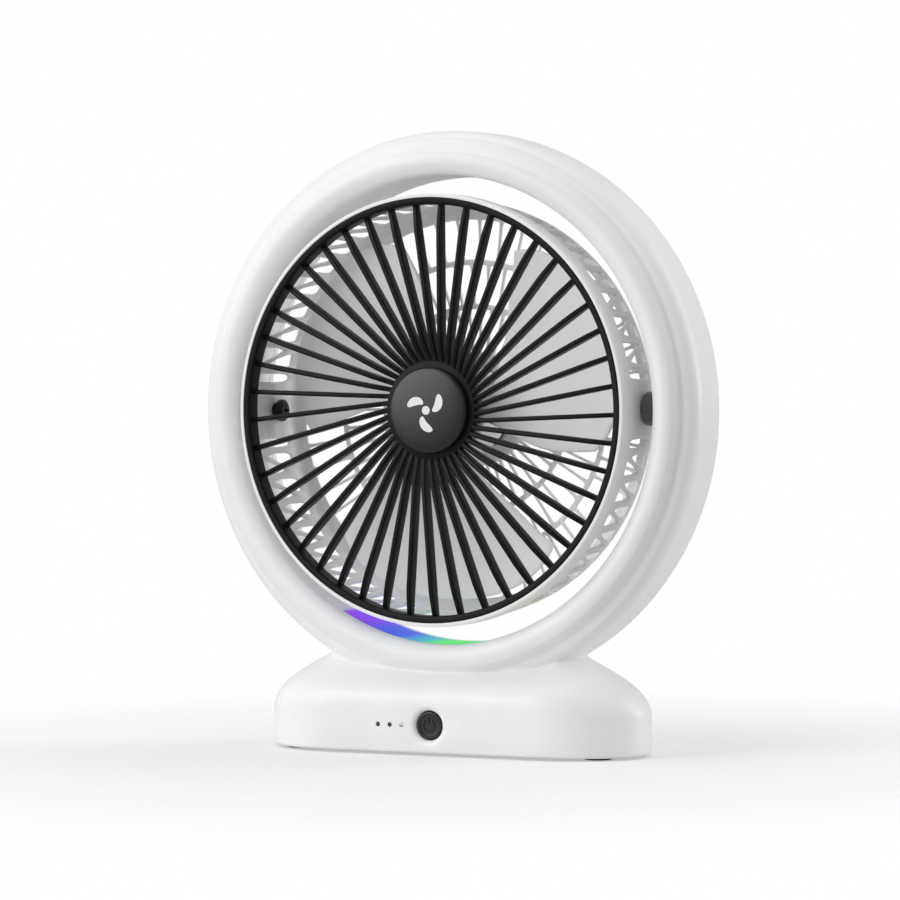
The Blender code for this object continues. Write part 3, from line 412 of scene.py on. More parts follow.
def litPolycarbonate():
    # frosted polycarbonate over a row of coloured lamps: the colours run into each other along the arc
    material, shader = surface("litFrostedPolycarbonate", {
        "IOR": 1.58, "Specular IOR Level": 0.3, "Emission Strength": glow["strength"]})
    place = addNode(material, "TexCoord", {}).outputs["Object"]
    centred = addNode(material, "Mapping", {"Location": -hub * mm}, Vector=place)
    parts = addNode(material, "SeparateXYZ", {}, Vector=centred.outputs["Vector"])
    turn = addNode(material, "Math", {"operation": "ARCTAN2"}, i0=parts.outputs["Z"], i1=parts.outputs["X"])
    first, last = glow["stops"][0][0], glow["stops"][-1][0]
    share = addNode(material, "MapRange", {"From Min": radians(first - 360), "From Max": radians(last - 360)},
                    Value=turn.outputs["Value"])
    colours = addNode(material, "ValToRGB", {}, Fac=share.outputs["Result"])
    dimmed = addNode(material, "ValToRGB", {}, Fac=share.outputs["Result"])
    for ramp in (colours.color_ramp, dimmed.color_ramp):
        for _ in glow["stops"][2:]:
            ramp.elements.new(0.5)
    for i, (angle, text, lit) in enumerate(glow["stops"]):
        colour = Vector(hexColour(text)[:3])
        returned = 1.0 - lit * (1.0 - glow["unlitShare"])
        for ramp, tint in ((colours.color_ramp, colour * lit), (dimmed.color_ramp, colour * returned)):
            ramp.elements[i].position = (angle - first) / (last - first)
            ramp.elements[i].color = (*tint, 1.0)
    frost = addNode(material, "TexNoise", {"Scale": perMetre(0.5), "Detail": 2.0},
                    Vector=centred.outputs["Vector"])
    gloss = addNode(material, "MapRange", {"To Min": 0.4, "To Max": 0.55}, Value=frost.outputs["Fac"])
    return wired(material, shader, Base_Color=dimmed.outputs["Color"], Emission_Color=colours.outputs["Color"],
                 Roughness=gloss.outputs["Result"])


finishes = {
    "white_plastic": whiteAbs(), "light_diffuser": litPolycarbonate(), "black_plastic": blackAbs(),
    "grey_plastic": greyAbs(), "blade_plastic": bladePolypropylene(), "rubber": nitrileRubber(),
    "steel": zincSteel(), "brass": sinteredBronze(), "copper_winding": enamelledCopper(),
    "circuit_board": solderMask(), "battery_wrap": shrinkSleeve(), "clear_plastic": smokedAcrylic(),
}
ink = paintedWhite()
bushing = greyAcetal()
print("materials made")


def fitted(piece, body, slot, *nodes, material=None):
    # gives a finished piece its material and its place in the frame
    piece.data.materials.clear()
    piece.data.materials.append(material or finishes[slot])
    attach(piece, body)
    if nodes:
        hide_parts(*nodes)
    return piece


ring = {
    "inner": 81.0, "outer": (frontBox[1].x - frontBox[0].x) / 2,
    "lip": -10.5,                       # front edge of the inner wall, from the tilt axis
    "bead": (5.0, 3.7),                 # half width and height of the rounded front
    "shoulder": (5.6, 6.9),             # how the barrel rounds in to the crease
    "rear": 14.0,                       # back face, from the tilt axis
    "rearRound": (5.0, 7.5), "segments": 240,
}
base = {
    "halfWidth": 71.8, "halfDepth": -frontBox[0].y, "endRatio": 1.353, "lift": frontBox[0].z, "edge": 1.2,
    "wallHeight": 14.0, "neckHeight": 36.0, "leanX": 28.8, "leanY": 14.0, "wall": 2.2,
    "blend": 28,                        # smoothing rounds where the ring grows out of the base
    "corner": (15.0, 48.0), "cornerReach": 66.0, "cornerAngle": 18.0,   # where that corner lies
    "creaseRoom": 2.2, "creaseTop": 30.5,                               # above it the ring's crease stays sharp
}
seam = {"front": 8.1, "rear": 8.2}      # world y of the parting line's two edges


def ringOutline():
    inner, outer, lip = ring["inner"], ring["outer"], ring["lip"]
    wide, high = ring["bead"]
    points = arc((inner + wide, lip), (wide, high), 180.0, 318.0, 18)      # the bead, clockwise to the crease
    points = [(r, lip - (y - lip) if y > lip else y) for r, y in points]
    crease = inner + 2 * wide
    side, deep = ring["shoulder"]
    valley = filleted([points[-1], (crease + 0.35, lip + 0.55, 1.7), (crease + 2.2, lip + 0.8)], 8)
    shoulder = arc((outer - side, lip + 7.0), (side, deep), -60.0, 0.0, 12)
    corner, fall = ring["rearRound"]
    rear = ring["rear"]
    back = arc((outer - corner, rear - fall), (corner, fall), 0.0, 90.0, 12)
    inside = filleted([(outer - corner, rear), (inner, rear, 1.6), (inner, lip)], 5)[1:-1]
    return points[:-1] + valley[1:-1] + shoulder + back + inside


def planPoint(x, y, old, new):
    # carries a point from one oval outline to the next; a plan is (half width, half depth, inset)
    def size(plan):
        end = base["endRatio"] * plan[1]
        return plan[0] - end, end - plan[2], plan[1] - plan[2]

    straight, end, depth = size(old)
    newStraight, newEnd, newDepth = size(new)
    side = 1.0 if x >= 0 else -1.0
    if abs(x) <= straight + 1e-4:
        return x / straight * newStraight, y / depth * newDepth
    t = atan2(y / depth, (abs(x) - straight) / end)
    return side * (newStraight + newEnd * cos(t)), newDepth * sin(t)


def shoulderPlan(share, inset=0.0):
    leanX = share ** 1.9
    leanY = share ** 3 / (share ** 3 + (1.23 * (1.0 - share)) ** 3)
    return base["halfWidth"] - base["leanX"] * leanX, base["halfDepth"] - base["leanY"] * leanY, inset


def ovalTower(name, levels, endSteps=28, straightSteps=12):
    # levels are (height, plan); the first outline is drawn on a disc, which is pulled up level by level
    count = 2 * (endSteps + straightSteps)
    deselect()
    bpy.ops.mesh.primitive_circle_add(vertices=count, radius=0.01, fill_type="NGON")
    piece = named(name)
    width, depth, inset = levels[0][1]
    end = base["endRatio"] * depth
    outline = []
    for side in (1.0, -1.0):
        for i in range(endSteps + 1):
            t = radians(-90.0 + 180.0 * i / endSteps) * side
            outline.append((side * (width - end + (end - inset) * cos(t)), (depth - inset) * sin(t)))
        for i in range(1, straightSteps):
            reach = (width - end) * (1.0 - 2.0 * i / straightSteps)
            outline.append((side * reach, side * (depth - inset)))
    for vertex, (x, y) in zip(piece.data.vertices, outline):
        vertex.co = Vector((x, y, levels[0][0])) * mm
    editAll(piece)
    for (low, old), (high, new) in zip(levels, levels[1:]):
        bpy.ops.mesh.extrude_region_move(TRANSFORM_OT_translate={"value": (0, 0, (high - low) * mm)})
        shape = bmesh.from_edit_mesh(piece.data)
        for vertex in (v for v in shape.verts if v.select):
            x, y = planPoint(vertex.co.x / mm, vertex.co.y / mm, old, new)
            vertex.co = Vector((x, y, high)) * mm
        bmesh.update_edit_mesh(piece.data)
    bpy.ops.object.mode_set(mode="OBJECT")
    return tidied(piece)


def baseSolid():
    full = (base["halfWidth"], base["halfDepth"])
    edge = base["edge"]
    levels = []
    for i in range(5):
        t = radians(22.5 * i)
        levels.append((base["lift"] + edge * (1.0 - cos(t)), (*full, edge * (1.0 - sin(t)))))
    levels += [(8.0, (*full, 0.0)), (12.0, (*full, 0.0))]
    steps = 26
    for i in range(steps + 1):
        share = i / steps
        height = base["wallHeight"] + (base["neckHeight"] - base["wallHeight"]) * share
        levels.append((height, shoulderPlan(share)))
    return ovalTower("base", levels)


def baseHollow():
    wall = base["wall"]
    levels = [(-1.0, (base["halfWidth"], base["halfDepth"], wall))]
    low = base["wallHeight"] - wall
    steps = 8
    for i in range(steps + 1):
        share = i / steps
        height = low + (base["neckHeight"] - wall - low) * share
        lifted = (height + wall - base["wallHeight"]) / (base["neckHeight"] - base["wallHeight"])
        levels.append((height, shoulderPlan(min(lifted, 1.0), wall)))
    return ovalTower("baseHollow", levels, 12, 4)


def ringHollow():
    # the channel behind the liner
    inner, outer, lip, rear = ring["inner"], ring["outer"], ring["lip"], ring["rear"]
    deep = inner + 2.2
    outline = [(inner - 2.0, -8.0), (deep, -8.0), (deep + 1.2, lip - 0.5), (inner + 7.2, lip - 0.5),
               (inner + 9.2, lip + 2.3), (outer - 3.6, lip + 4.3), (outer - 2.4, lip + 6.5),
               (outer - 2.4, rear - 7.0), (outer - 5.2, rear - 2.2), (deep, rear - 2.2), (deep, 10.15),
               (inner - 2.0, 10.15)]
    return turned("ringHollow", outline, 96, hub)


def blendNeck(piece):
    # the corner where base and ring meet is divided finer and relaxed into a soft fillet
    crease = ring["inner"] + 2 * ring["bead"][0]
    editAll(piece)
    bpy.ops.mesh.select_all(action="DESELECT")
    bpy.ops.mesh.select_mode(type="EDGE")
    shape = bmesh.from_edit_mesh(piece.data)
    for edge in shape.edges:
        middle = (edge.verts[0].co + edge.verts[1].co) / 2 / mm
        inCorner = base["corner"][0] < middle.z < base["corner"][1] and abs(middle.x) < base["cornerReach"]
        if not inCorner or len(edge.link_faces) != 2 or edge.is_convex:
            continue
        if edge.calc_face_angle() > radians(base["cornerAngle"]):
            reach = Vector((middle.x, middle.z - hub.z)).length
            onCrease = abs(reach - crease) < base["creaseRoom"] and middle.y < hub.y + ring["lip"] + 1.5
            edge.select = not onCrease or middle.z < base["creaseTop"]
    bmesh.update_edit_mesh(piece.data)
    bpy.ops.mesh.select_mode(type="VERT")
    for _ in range(2):
        bpy.ops.mesh.select_more()
    bpy.ops.mesh.quads_convert_to_tris(quad_method="BEAUTY", ngon_method="BEAUTY")
    bpy.ops.mesh.subdivide(number_cuts=1)
    bpy.ops.mesh.vertices_smooth(factor=0.5, repeat=base["blend"])
    bpy.ops.object.mode_set(mode="OBJECT")
    return piece


buttonBox = [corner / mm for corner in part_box("power_button")]
controls = {
    "height": (buttonBox[0].z + buttonBox[1].z) / 2,
    "holeRadius": 5.1, "flare": 2.1, "flareDepth": 1.9,
    "lampX": (-19.5, -14.9, -10.3), "lampHole": 0.85,
}
port = [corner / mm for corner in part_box("charging_port")]
portSlack = 0.5                         # how much wider and taller its hole is
screws = {
    "coverPlaces": [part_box(f"bottom_screw_{i}") for i in range(1, 5)],
    "shellPlaces": [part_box(f"shell_screw_{i}") for i in range(1, 5)],
    "headRoom": 0.35, "headSunk": 1.2, "headHeight": 0.9, "coverShank": 1.2, "shellShank": 1.0,
}


def buttonWell():
    face = -base["halfDepth"]
    hole, flare, deep = controls["holeRadius"], controls["flare"], controls["flareDepth"]
    slope = arc((hole + flare, face + deep), (flare, deep), 180.0, 270.0, 8)
    outline = [(0.0, face - 1.0), (hole + flare + 0.6, face - 1.0), (hole + flare + 0.6, face - 0.02)]
    outline += slope[::-1] + [(hole, face + 6.0), (0.0, face + 6.0)]
    return turned("buttonWell", outline, 96, (0, 0, controls["height"]))


def slotTool(name, width, height, low, high, z, flare=0.0):
    # an oblong hole along Y with its mouth rounded by a bevel
    deselect()
    bpy.ops.mesh.primitive_circle_add(vertices=48, radius=0.01, fill_type="NGON")
    piece = named(name)
    straight = (width - height) / 2
    for i, vertex in enumerate(piece.data.vertices):
        t = 2 * pi * (i + 0.5) / 48
        side = 1.0 if cos(t) > 0 else -1.0
        vertex.co = Vector((side * straight + height / 2 * cos(t), low, z + height / 2 * sin(t))) * mm
    editAll(piece)
    bpy.ops.mesh.extrude_region_move(TRANSFORM_OT_translate={"value": (0, (high - low) * mm, 0)})
    if flare:
        grow = ((width + 2 * flare) / width, 1.0, (height + 2 * flare) / height)
        bpy.ops.mesh.extrude_region_move(TRANSFORM_OT_translate={"value": (0, flare * mm, 0)})
        bpy.ops.transform.resize(value=grow, center_override=(0, high * mm, z * mm))
    bpy.ops.object.mode_set(mode="OBJECT")
    return tidied(piece)


def makeStand():
    solid = turned("ring", ringOutline(), ring["segments"], hub)
    solid = united(solid, baseSolid())
    blendNeck(solid)
    print("ring and base blended:", len(solid.data.polygons), "faces")
    cut(solid, ringHollow(), baseHollow())
    rear = copied(solid, "rearShell")
    reach = 2 * ring["outer"]
    cut(solid, block("rearHalf", (-reach, seam["front"], -50.0), (reach, 60.0, 3 * reach)))
    cut(rear, block("frontHalf", (-reach, -60.0, -50.0), (reach, seam["rear"], 3 * reach)))
    solid.name = "frontShell"
    face = -base["halfDepth"]
    tools = [buttonWell()]
    for x in controls["lampX"]:
        place = (x, 0, controls["height"])
        tools.append(rod("lampHole", controls["lampHole"], face - 1.0, face + 5.0, 32, place))
    cut(solid, joined("frontTools", tools))
    width, height = port[1].x - port[0].x + portSlack, port[1].z - port[0].z + portSlack
    middle = (port[0].z + port[1].z) / 2
    tools = [slotTool("portHole", width, height, port[1].y - 4.0, -face - 0.35, middle, 0.5)]
    for low, high in screws["shellPlaces"]:
        middle = (low + high) / 2 / mm
        head = (high.x - low.x) / 2 / mm + screws["headRoom"]
        seat = high.y / mm - screws["headSunk"]
        tools.append(rod("screwHole", head, seat, seat + 6.0, 40, (middle.x, 0, middle.z)))
    cut(rear, joined("rearTools", tools))
    for piece, node in ((solid, "body_front_shell"), (rear, "body_rear_shell")):
        smoothed(closed(tidied(piece, 0.000002)), 32.0)
        fitted(piece, "stand", "white_plastic", node)
    print("stand shells:", len(solid.data.polygons), len(rear.data.polygons), "faces")


liner = {"depth": 2.0, "front": -7.9, "rear": 10.0, "edge": 0.25, "from": 335.05, "to": 564.95,
         "lightFrom": 205.05, "lightTo": 334.95, "bushRoom": 6.0}


def makeLiner():
    inner = ring["inner"]
    band = filleted([(inner, liner["front"], liner["edge"]), (inner + liner["depth"], liner["front"]),
                     (inner + liner["depth"], liner["rear"]), (inner, liner["rear"], liner["edge"])], 3)
    white = turned("ringLiner", band, 200, hub, start=liner["from"], sweep=liner["to"] - liner["from"])
    cut(white, rod("bushHole", liner["bushRoom"], -inner - 9.0, inner + 9.0, 64, hub, "X"))
    fitted(smoothed(white), "stand", "white_plastic", "ring_liner")
    light = turned("lightDiffuser", band, 130, hub, start=liner["lightFrom"],
                   sweep=liner["lightTo"] - liner["lightFrom"])
    fitted(smoothed(light), "stand", "light_diffuser", "light_diffuser")


button = {"radius": 4.8, "sunk": 0.9, "rim": 0.8, "dish": 0.3, "markRadius": 2.1, "markWidth": 0.5,
          "markDepth": 0.3, "gapAngle": 62.0}


def makeButton():
    low, high = buttonBox
    face, radius, rim = low.y + button["sunk"], button["radius"], button["rim"]
    flangeBack = high.y
    flange = -base["halfDepth"] + base["wall"] + 0.7
    corners = [(0.0, face + button["dish"]), (radius - rim - 0.4, face + button["dish"], 0.3),
               (radius - rim, face + 0.02, 0.2), (radius, face + 0.02, 0.4), (radius, flange),
               (radius + 0.9, flange), (radius + 0.9, flange + 1.0), (1.6, flange + 1.0), (1.6, flangeBack),
               (0.0, flangeBack)]
    cap = turned("powerButton", filleted(corners, 4), 96, (0, 0, controls["height"]))
    half, mark = button["markWidth"] / 2, button["markRadius"]
    top = face - 0.5
    floor = face + button["dish"] + button["markDepth"]
    groove = [(mark - half, top), (mark + half, top), (mark + half, floor), (mark - half, floor)]
    sweep = 360.0 - button["gapAngle"]
    start = 90.0 + button["gapAngle"] / 2
    bow = turned("markBow", groove, 48, (0, 0, controls["height"]), start=start, sweep=sweep)
    z = controls["height"]
    bar = block("markBar", (-half, top, z + 0.5), (half, floor, z + mark + 0.9))
    cut(cap, joined("mark", [bow, bar]))
    fitted(smoothed(cap), "button", "grey_plastic", "power_button")


def makeLamps():
    low, high = [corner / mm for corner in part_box("indicator_light_pipe")]
    z = controls["height"]
    pins = [block("lampBar", (low.x, high.y - 1.6, z - 1.2), (high.x, high.y, z + 1.2), 0.2)]
    for x in controls["lampX"]:
        corners = [(0.0, low.y), (0.7, low.y, 0.3), (0.7, high.y - 1.0), (0.0, high.y - 1.0)]
        pins.append(turned("lampPin", filleted(corners), 32, (x, 0, z)))
    fitted(smoothed(joined("lightPipe", pins)), "stand", "clear_plastic", "indicator_light_pipe")


def makeFeet():
    places = [[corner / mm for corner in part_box(f"rubber_foot_{i}")] for i in range(1, 5)]
    low, high = places[0]
    radius = (high.x - low.x) / 2
    corners = [(0.0, low.z + 0.25), (radius - 1.4, low.z + 0.25, 0.3), (radius - 1.1, low.z, 0.2),
               (radius - 0.1, low.z, 0.4), (radius, high.z), (0.0, high.z)]
    foot = smoothed(turned("foot", filleted(corners, 4), 64, axis="Z"))
    for i, (low, high) in enumerate(places, 1):
        middle = (low + high) / 2
        piece = moved(copied(foot, f"rubberFoot{i}"), (middle.x, middle.y, 0.0))
        fitted(piece, "stand", "rubber", f"rubber_foot_{i}")
    bpy.data.objects.remove(foot)


def driveCross(reach, depth, width=0.55):
    # two crossing blades, the tool of a cross recess, pointing along -Y from the head's face at 0
    first = block("cross", (-reach, -depth, -width / 2), (reach, 0.5, width / 2))
    second = block("cross", (-width / 2, -depth, -reach), (width / 2, 0.5, reach))
    return united(first, second)


def screwPiece(name, headRadius, headHeight, length, shank):
    # a pan head outside at 0 on +Y, its shank running to -Y, with a cross recess
    corners = [(0.0, 0.0), (headRadius * 0.75, -0.02, 0.8), (headRadius, -headHeight * 0.55, 0.3),
               (headRadius, -headHeight), (shank, -headHeight), (shank, -length + shank), (0.0, -length)]
    piece = turned(name, filleted(corners, 4), 48)
    return cut(piece, driveCross(headRadius * 0.52, headHeight * 0.75))


def makeScrews():
    # (piece, node, numbers of the screws of one size, shank radius, the axis they point along)
    kinds = [("coverScrew", "bottom_screw", (1, 2, 3, 4), screws["coverShank"], "Z"),
             ("shellScrew", "shell_screw", (1, 2), screws["shellShank"], "Y"),
             ("shellScrew", "shell_screw", (3, 4), screws["shellShank"], "Y")]
    for name, node, numbers, shank, axis in kinds:
        places = screws["coverPlaces"] if axis == "Z" else screws["shellPlaces"]
        size = (places[numbers[0] - 1][1] - places[numbers[0] - 1][0]) / mm
        length = size.z if axis == "Z" else size.y
        first = smoothed(screwPiece("screw", size.x / 2, screws["headHeight"], length, shank))
        if axis == "Z":
            moved(first, turn=-90.0, axis="X")
        for i in numbers:
            low, high = places[i - 1][0] / mm, places[i - 1][1] / mm
            middle = (low + high) / 2
            top = (middle.x, middle.y, low.z) if axis == "Z" else (middle.x, high.y, middle.z)
            fitted(moved(copied(first, f"{name}{i}"), top), "stand", "steel", f"{node}_{i}")
        bpy.data.objects.remove(first)


def makePort():
    low, high = port
    z = (low.z + high.z) / 2
    shell = slotTool("chargingPort", high.x - low.x, high.z - low.z, low.y, high.y, z)
    cut(shell, slotTool("portBore", high.x - low.x - 0.7, high.z - low.z - 0.7, low.y + 1.0, high.y + 1.0, z))
    fitted(smoothed(shell), "stand", "steel", "charging_port")


head = {
    "rim": 73.0, "rimWidth": 2.4, "rimFront": -20.6, "rimRear": -14.6, "bezel": 1.1,
    "barrel": [(73.55, -14.6), (73.5, -12.6), (71.75, 6.6),                   # (radius, along), front to back
               (71.3, 8.6), (70.2, 10.6), (68.2, 11.7), (66.2, 12.2)],
    "rings": [(51.5, 14.2), (36.0, 16.2)], "hub": (19.0, 17.45), "wall": 1.5,
    "pitch": 7.5, "strut": 2.1, "braceFoot": 1.2, "cell": 1.15, "ringBar": 2.1,
    "floorRadius": 20.0, "floor": (16.2, 18.7),
}


def basketRows():
    # (radius, along) of each row of the sheet, front to back, and what lies between it and the next one
    rows = [(*head["barrel"][0], "solid"), (*head["barrel"][1], "windows"), (*head["barrel"][2], "solid")]
    rows += [(*point, "solid") for point in head["barrel"][3:]]
    outer = head["barrel"][-1]
    half = head["ringBar"] / 2
    for cells, (radius, along) in enumerate(head["rings"] + [head["hub"]]):
        slope = (along - outer[1]) / (outer[0] - radius)
        rows[-1] = (*rows[-1][:2], f"cells{cells}")
        middle = ((outer[0] + radius) / 2, (outer[1] + along) / 2 + 0.35, f"cells{cells}")
        rows.append(middle)
        rows.append((radius + half, along - slope * half, "solid"))
        rows.append((radius - half, along + slope * half, "solid"))
        outer = (radius - half, along + slope * half)
    return rows


def basketColumns():
    # (angle, offset in millimetres) of each column within one pitch
    half, foot, cell = head["strut"] / 2, head["braceFoot"], head["cell"] / 2
    middle = head["pitch"] / 2
    return [(0.0, -half), (0.0, -cell), (0.0, cell), (0.0, half), (0.0, half + foot), (middle, -cell),
            (middle, cell), (head["pitch"], -half - foot)]


def fromPivot(pitch):
    # the angle of a window's middle from the nearest pivot
    return ((pitch + 1) * head["pitch"] + 90.0) % 180.0 - 90.0


def makeBasket():
    rows, columns = basketRows(), basketColumns()
    pitches = round(360.0 / head["pitch"])
    wide, high = pitches * len(columns), len(rows)
    deselect()
    bpy.ops.mesh.primitive_grid_add(x_subdivisions=wide, y_subdivisions=high - 1, size=1.0)
    sheet = named("headBasket")
    for i, vertex in enumerate(sheet.data.vertices):
        row, column = divmod(i, wide + 1)
        radius, along, _ = rows[row]
        angle, offset = columns[column % len(columns)]
        turn = radians(angle + head["pitch"] * (column // len(columns) + 0.5)) + offset / radius
        vertex.co = Vector((radius * cos(turn), along, radius * sin(turn))) * mm
    editAll(sheet)
    bpy.ops.mesh.select_all(action="DESELECT")
    shape = bmesh.from_edit_mesh(sheet.data)
    shape.verts.ensure_lookup_table()
    holes = []
    for face in shape.faces:
        corners = [divmod(vertex.index, wide + 1) for vertex in face.verts]
        row = min(corner[0] for corner in corners)
        column = min(corner[1] for corner in corners)
        within = column % len(columns)
        pitch = column // len(columns)
        kind = rows[row][2]
        if kind == "windows" and within >= 3 and fromPivot(pitch) != 0.0:
            # next to a pivot only the far half of a window is open
            beyond = within >= 6 if fromPivot(pitch) > 0.0 else within <= 4
            if beyond or abs(fromPivot(pitch)) > head["pitch"]:
                holes.append(face)
        if kind.startswith("cells"):
            staggered = int(kind[-1]) % 2 == 1
            solid = within == (5 if staggered else 1)
            if not solid:
                holes.append(face)
    braces = []
    windowRow = [i for i, entry in enumerate(rows) if entry[2] == "windows"][0]
    for pitch in range(pitches):
        if abs(fromPivot(pitch)) > head["pitch"]:
            first = windowRow * (wide + 1) + pitch * len(columns)
            last = first + wide + 1
            low, high = (first, last) if fromPivot(pitch) > 0.0 else (last, first)
            braces.append([low + 3, low + 4, high + len(columns), high + len(columns) - 1])
    corners = [[shape.verts[index] for index in brace] for brace in braces]
    bmesh.ops.delete(shape, geom=holes, context="FACES_KEEP_BOUNDARY")
    for brace in corners:
        shape.faces.new(brace)
    bmesh.update_edit_mesh(sheet.data)
    bpy.ops.mesh.select_all(action="SELECT")
    bpy.ops.mesh.delete_loose()
    bpy.ops.mesh.select_all(action="SELECT")
    bpy.ops.mesh.remove_doubles(threshold=0.00001)
    bpy.ops.mesh.normals_make_consistent(inside=False)
    bpy.ops.object.mode_set(mode="OBJECT")
    applied(sheet, "SOLIDIFY", thickness=head["wall"] * mm, offset=0.0, use_even_offset=True)
    applied(sheet, "SUBSURF", levels=1, render_levels=1)
    rim, bezel = head["rim"], head["bezel"]
    outer = rim + 0.3 + bezel
    corners = [(rim + 0.05, head["rimFront"] + 0.15, 0.15), (outer, head["rimFront"] + 0.15, 0.5),
               (outer, head["rimRear"] + 1.6), (outer - 2.8, head["rimRear"] + 1.6, 0.4),
               (outer - 2.8, head["rimRear"] + 0.25), (rim + 0.05, head["rimRear"] + 0.25)]
    band = turned("bezel", filleted(corners, 5), 192)
    low, high = head["floor"]
    floor = rod("floor", head["floorRadius"], low, high, 96, edge=0.4)
    piece = moved(joined("headBasket", [sheet, band, floor]), hub)
    cut(piece, rod("pinHole", 2.75, -90.0, 90.0, 48, hub, "X"))
    fitted(smoothed(piece, 35.0), "head", "white_plastic", "rear_basket")
    print("basket:", len(piece.data.polygons), "faces")


grille = {"spokes": 45, "first": 10.0, "offset": 4.26, "width": 1.6, "front": -19.0, "rear": -14.7,
          "kink": 63.0, "kinkFront": -17.3, "hubRadius": 17.4, "hubFront": -17.4, "hubRear": -14.2,
          "edge": 0.32}


def spoke():
    # an upright blade: a block subdivided along its length, its front edge shaped, its edges rounded
    start, end = grille["hubRadius"] - 1.0, head["rim"] - head["rimWidth"] * 0.5
    half = grille["width"] / 2
    piece = block("spoke", (0.0, 0.0, -half), (1.0, 1.0, half))
    editAll(piece)
    bpy.ops.mesh.select_all(action="DESELECT")
    shape = bmesh.from_edit_mesh(piece.data)
    for edge in shape.edges:
        run = edge.verts[1].co - edge.verts[0].co
        edge.select = abs(run.x) > abs(run.y) + abs(run.z)
    bmesh.update_edit_mesh(piece.data)
    stations = [(start, grille["hubFront"] + 0.2), (start + 4.0, -18.2), (start + 8.5, grille["front"]),
                (grille["kink"] - 1.5, grille["front"]), (grille["kink"] + 1.5, grille["front"] + 0.35),
                (end, grille["kinkFront"])]
    bpy.ops.mesh.subdivide(number_cuts=len(stations) - 2)
    bpy.ops.object.mode_set(mode="OBJECT")
    for vertex in piece.data.vertices:
        x, y, z = vertex.co / mm
        radius, front = stations[round(x * (len(stations) - 1))]
        along = sqrt(radius * radius - grille["offset"] ** 2)
        vertex.co = Vector((along, front if y < 0.5 else grille["rear"], z - grille["offset"])) * mm
    return applied(piece, "BEVEL", width=grille["edge"] * mm, segments=3, limit_method="ANGLE",
                   angle_limit=radians(40.0))


def makeGrille():
    inner, rim = head["rim"] - head["rimWidth"], head["rim"]
    corners = [(inner, head["rimFront"] + 0.15, 0.7), (rim, head["rimFront"], 0.3), (rim, head["rimRear"]),
               (inner, head["rimRear"], 0.3)]
    frameRing = turned("frontGrille", filleted(corners, 5), 180)
    first = spoke()
    spokes = [first]
    for i in range(1, grille["spokes"]):
        spokes.append(spun(copied(first, "spoke"), 360.0 * i / grille["spokes"]))
    bars = spun(joined("spokes", spokes), grille["first"])
    corners = [(3.3, grille["hubFront"]), (grille["hubRadius"], grille["hubFront"], 0.7),
               (grille["hubRadius"], grille["hubRear"], 0.3), (3.3, grille["hubRear"])]
    centre = turned("centre", filleted(corners, 4), 96)
    united(frameRing, bars, centre)
    moved(tidied(frameRing, 0.000002), hub)
    fitted(smoothed(frameRing, 35.0), "head", "black_plastic", "front_grille")
    frameRing.visible_shadow = False                       # the light is so soft that the bars shade nothing
    print("grille:", len(frameRing.data.polygons), "faces")


cap = {"radius": 14.8, "face": -20.8, "crown": 0.7, "edge": 1.1, "stub": 3.0,
       "petals": 3, "petalFrom": 1.5, "petalTo": 7.6, "petalWidth": 2.5, "swirl": 42.0, "inkProud": 0.1}


def makeCap():
    back = grille["hubFront"] - 0.1
    radius, face = cap["radius"], cap["face"]
    dome = [(radius * share, face + cap["crown"] * share * share) for share in (0.0, 0.25, 0.5, 0.75)]
    corners = dome + [(radius, face + cap["crown"] + 0.1, cap["edge"]), (radius, back + 0.2, 0.3),
                      (radius - 0.6, back), (cap["stub"], back), (cap["stub"], back + 3.2), (0.0, back + 3.2)]
    piece = moved(turned("grilleCap", filleted(corners, 6), 128), hub)
    fitted(smoothed(piece), "head", "grey_plastic", "grille_cap")


def makeCapMark():
    # a plain sign for a fan: three curved blades round a dot
    inner, outer = cap["petalFrom"] + 0.9, cap["petalTo"]
    deselect()
    bpy.ops.mesh.primitive_circle_add(vertices=40, radius=1.0, fill_type="NGON")
    petal = named("petal")
    for vertex in petal.data.vertices:
        u, v = vertex.co.x, vertex.co.y
        reach = (inner + outer) / 2 + u * (outer - inner) / 2
        side = v * cap["petalWidth"] * (0.75 + 0.35 * u)
        turn = side / reach + radians(cap["swirl"]) * (reach - inner) / (outer - inner)
        sag = cap["crown"] * (reach / cap["radius"]) ** 2
        vertex.co = Vector((reach * cos(turn), cap["face"] + sag - cap["inkProud"], reach * sin(turn))) * mm
    editAll(petal)
    bpy.ops.mesh.extrude_region_move(TRANSFORM_OT_translate={"value": (0, 0.3 * mm, 0)})
    bpy.ops.object.mode_set(mode="OBJECT")
    petals = [tidied(petal)]
    for i in range(1, cap["petals"]):
        petals.append(spun(copied(petal, "petal"), 360.0 * i / cap["petals"]))
    dot = rod("dot", cap["petalFrom"], cap["face"] - cap["inkProud"], cap["face"] + 0.2, 40)
    mark = moved(joined("capSign", petals + [dot]), hub)
    fitted(smoothed(mark), "head", "white_plastic", material=ink)


pivot = {"pin": 2.5, "pinHead": 3.9, "bush": 5.8, "play": 0.3}


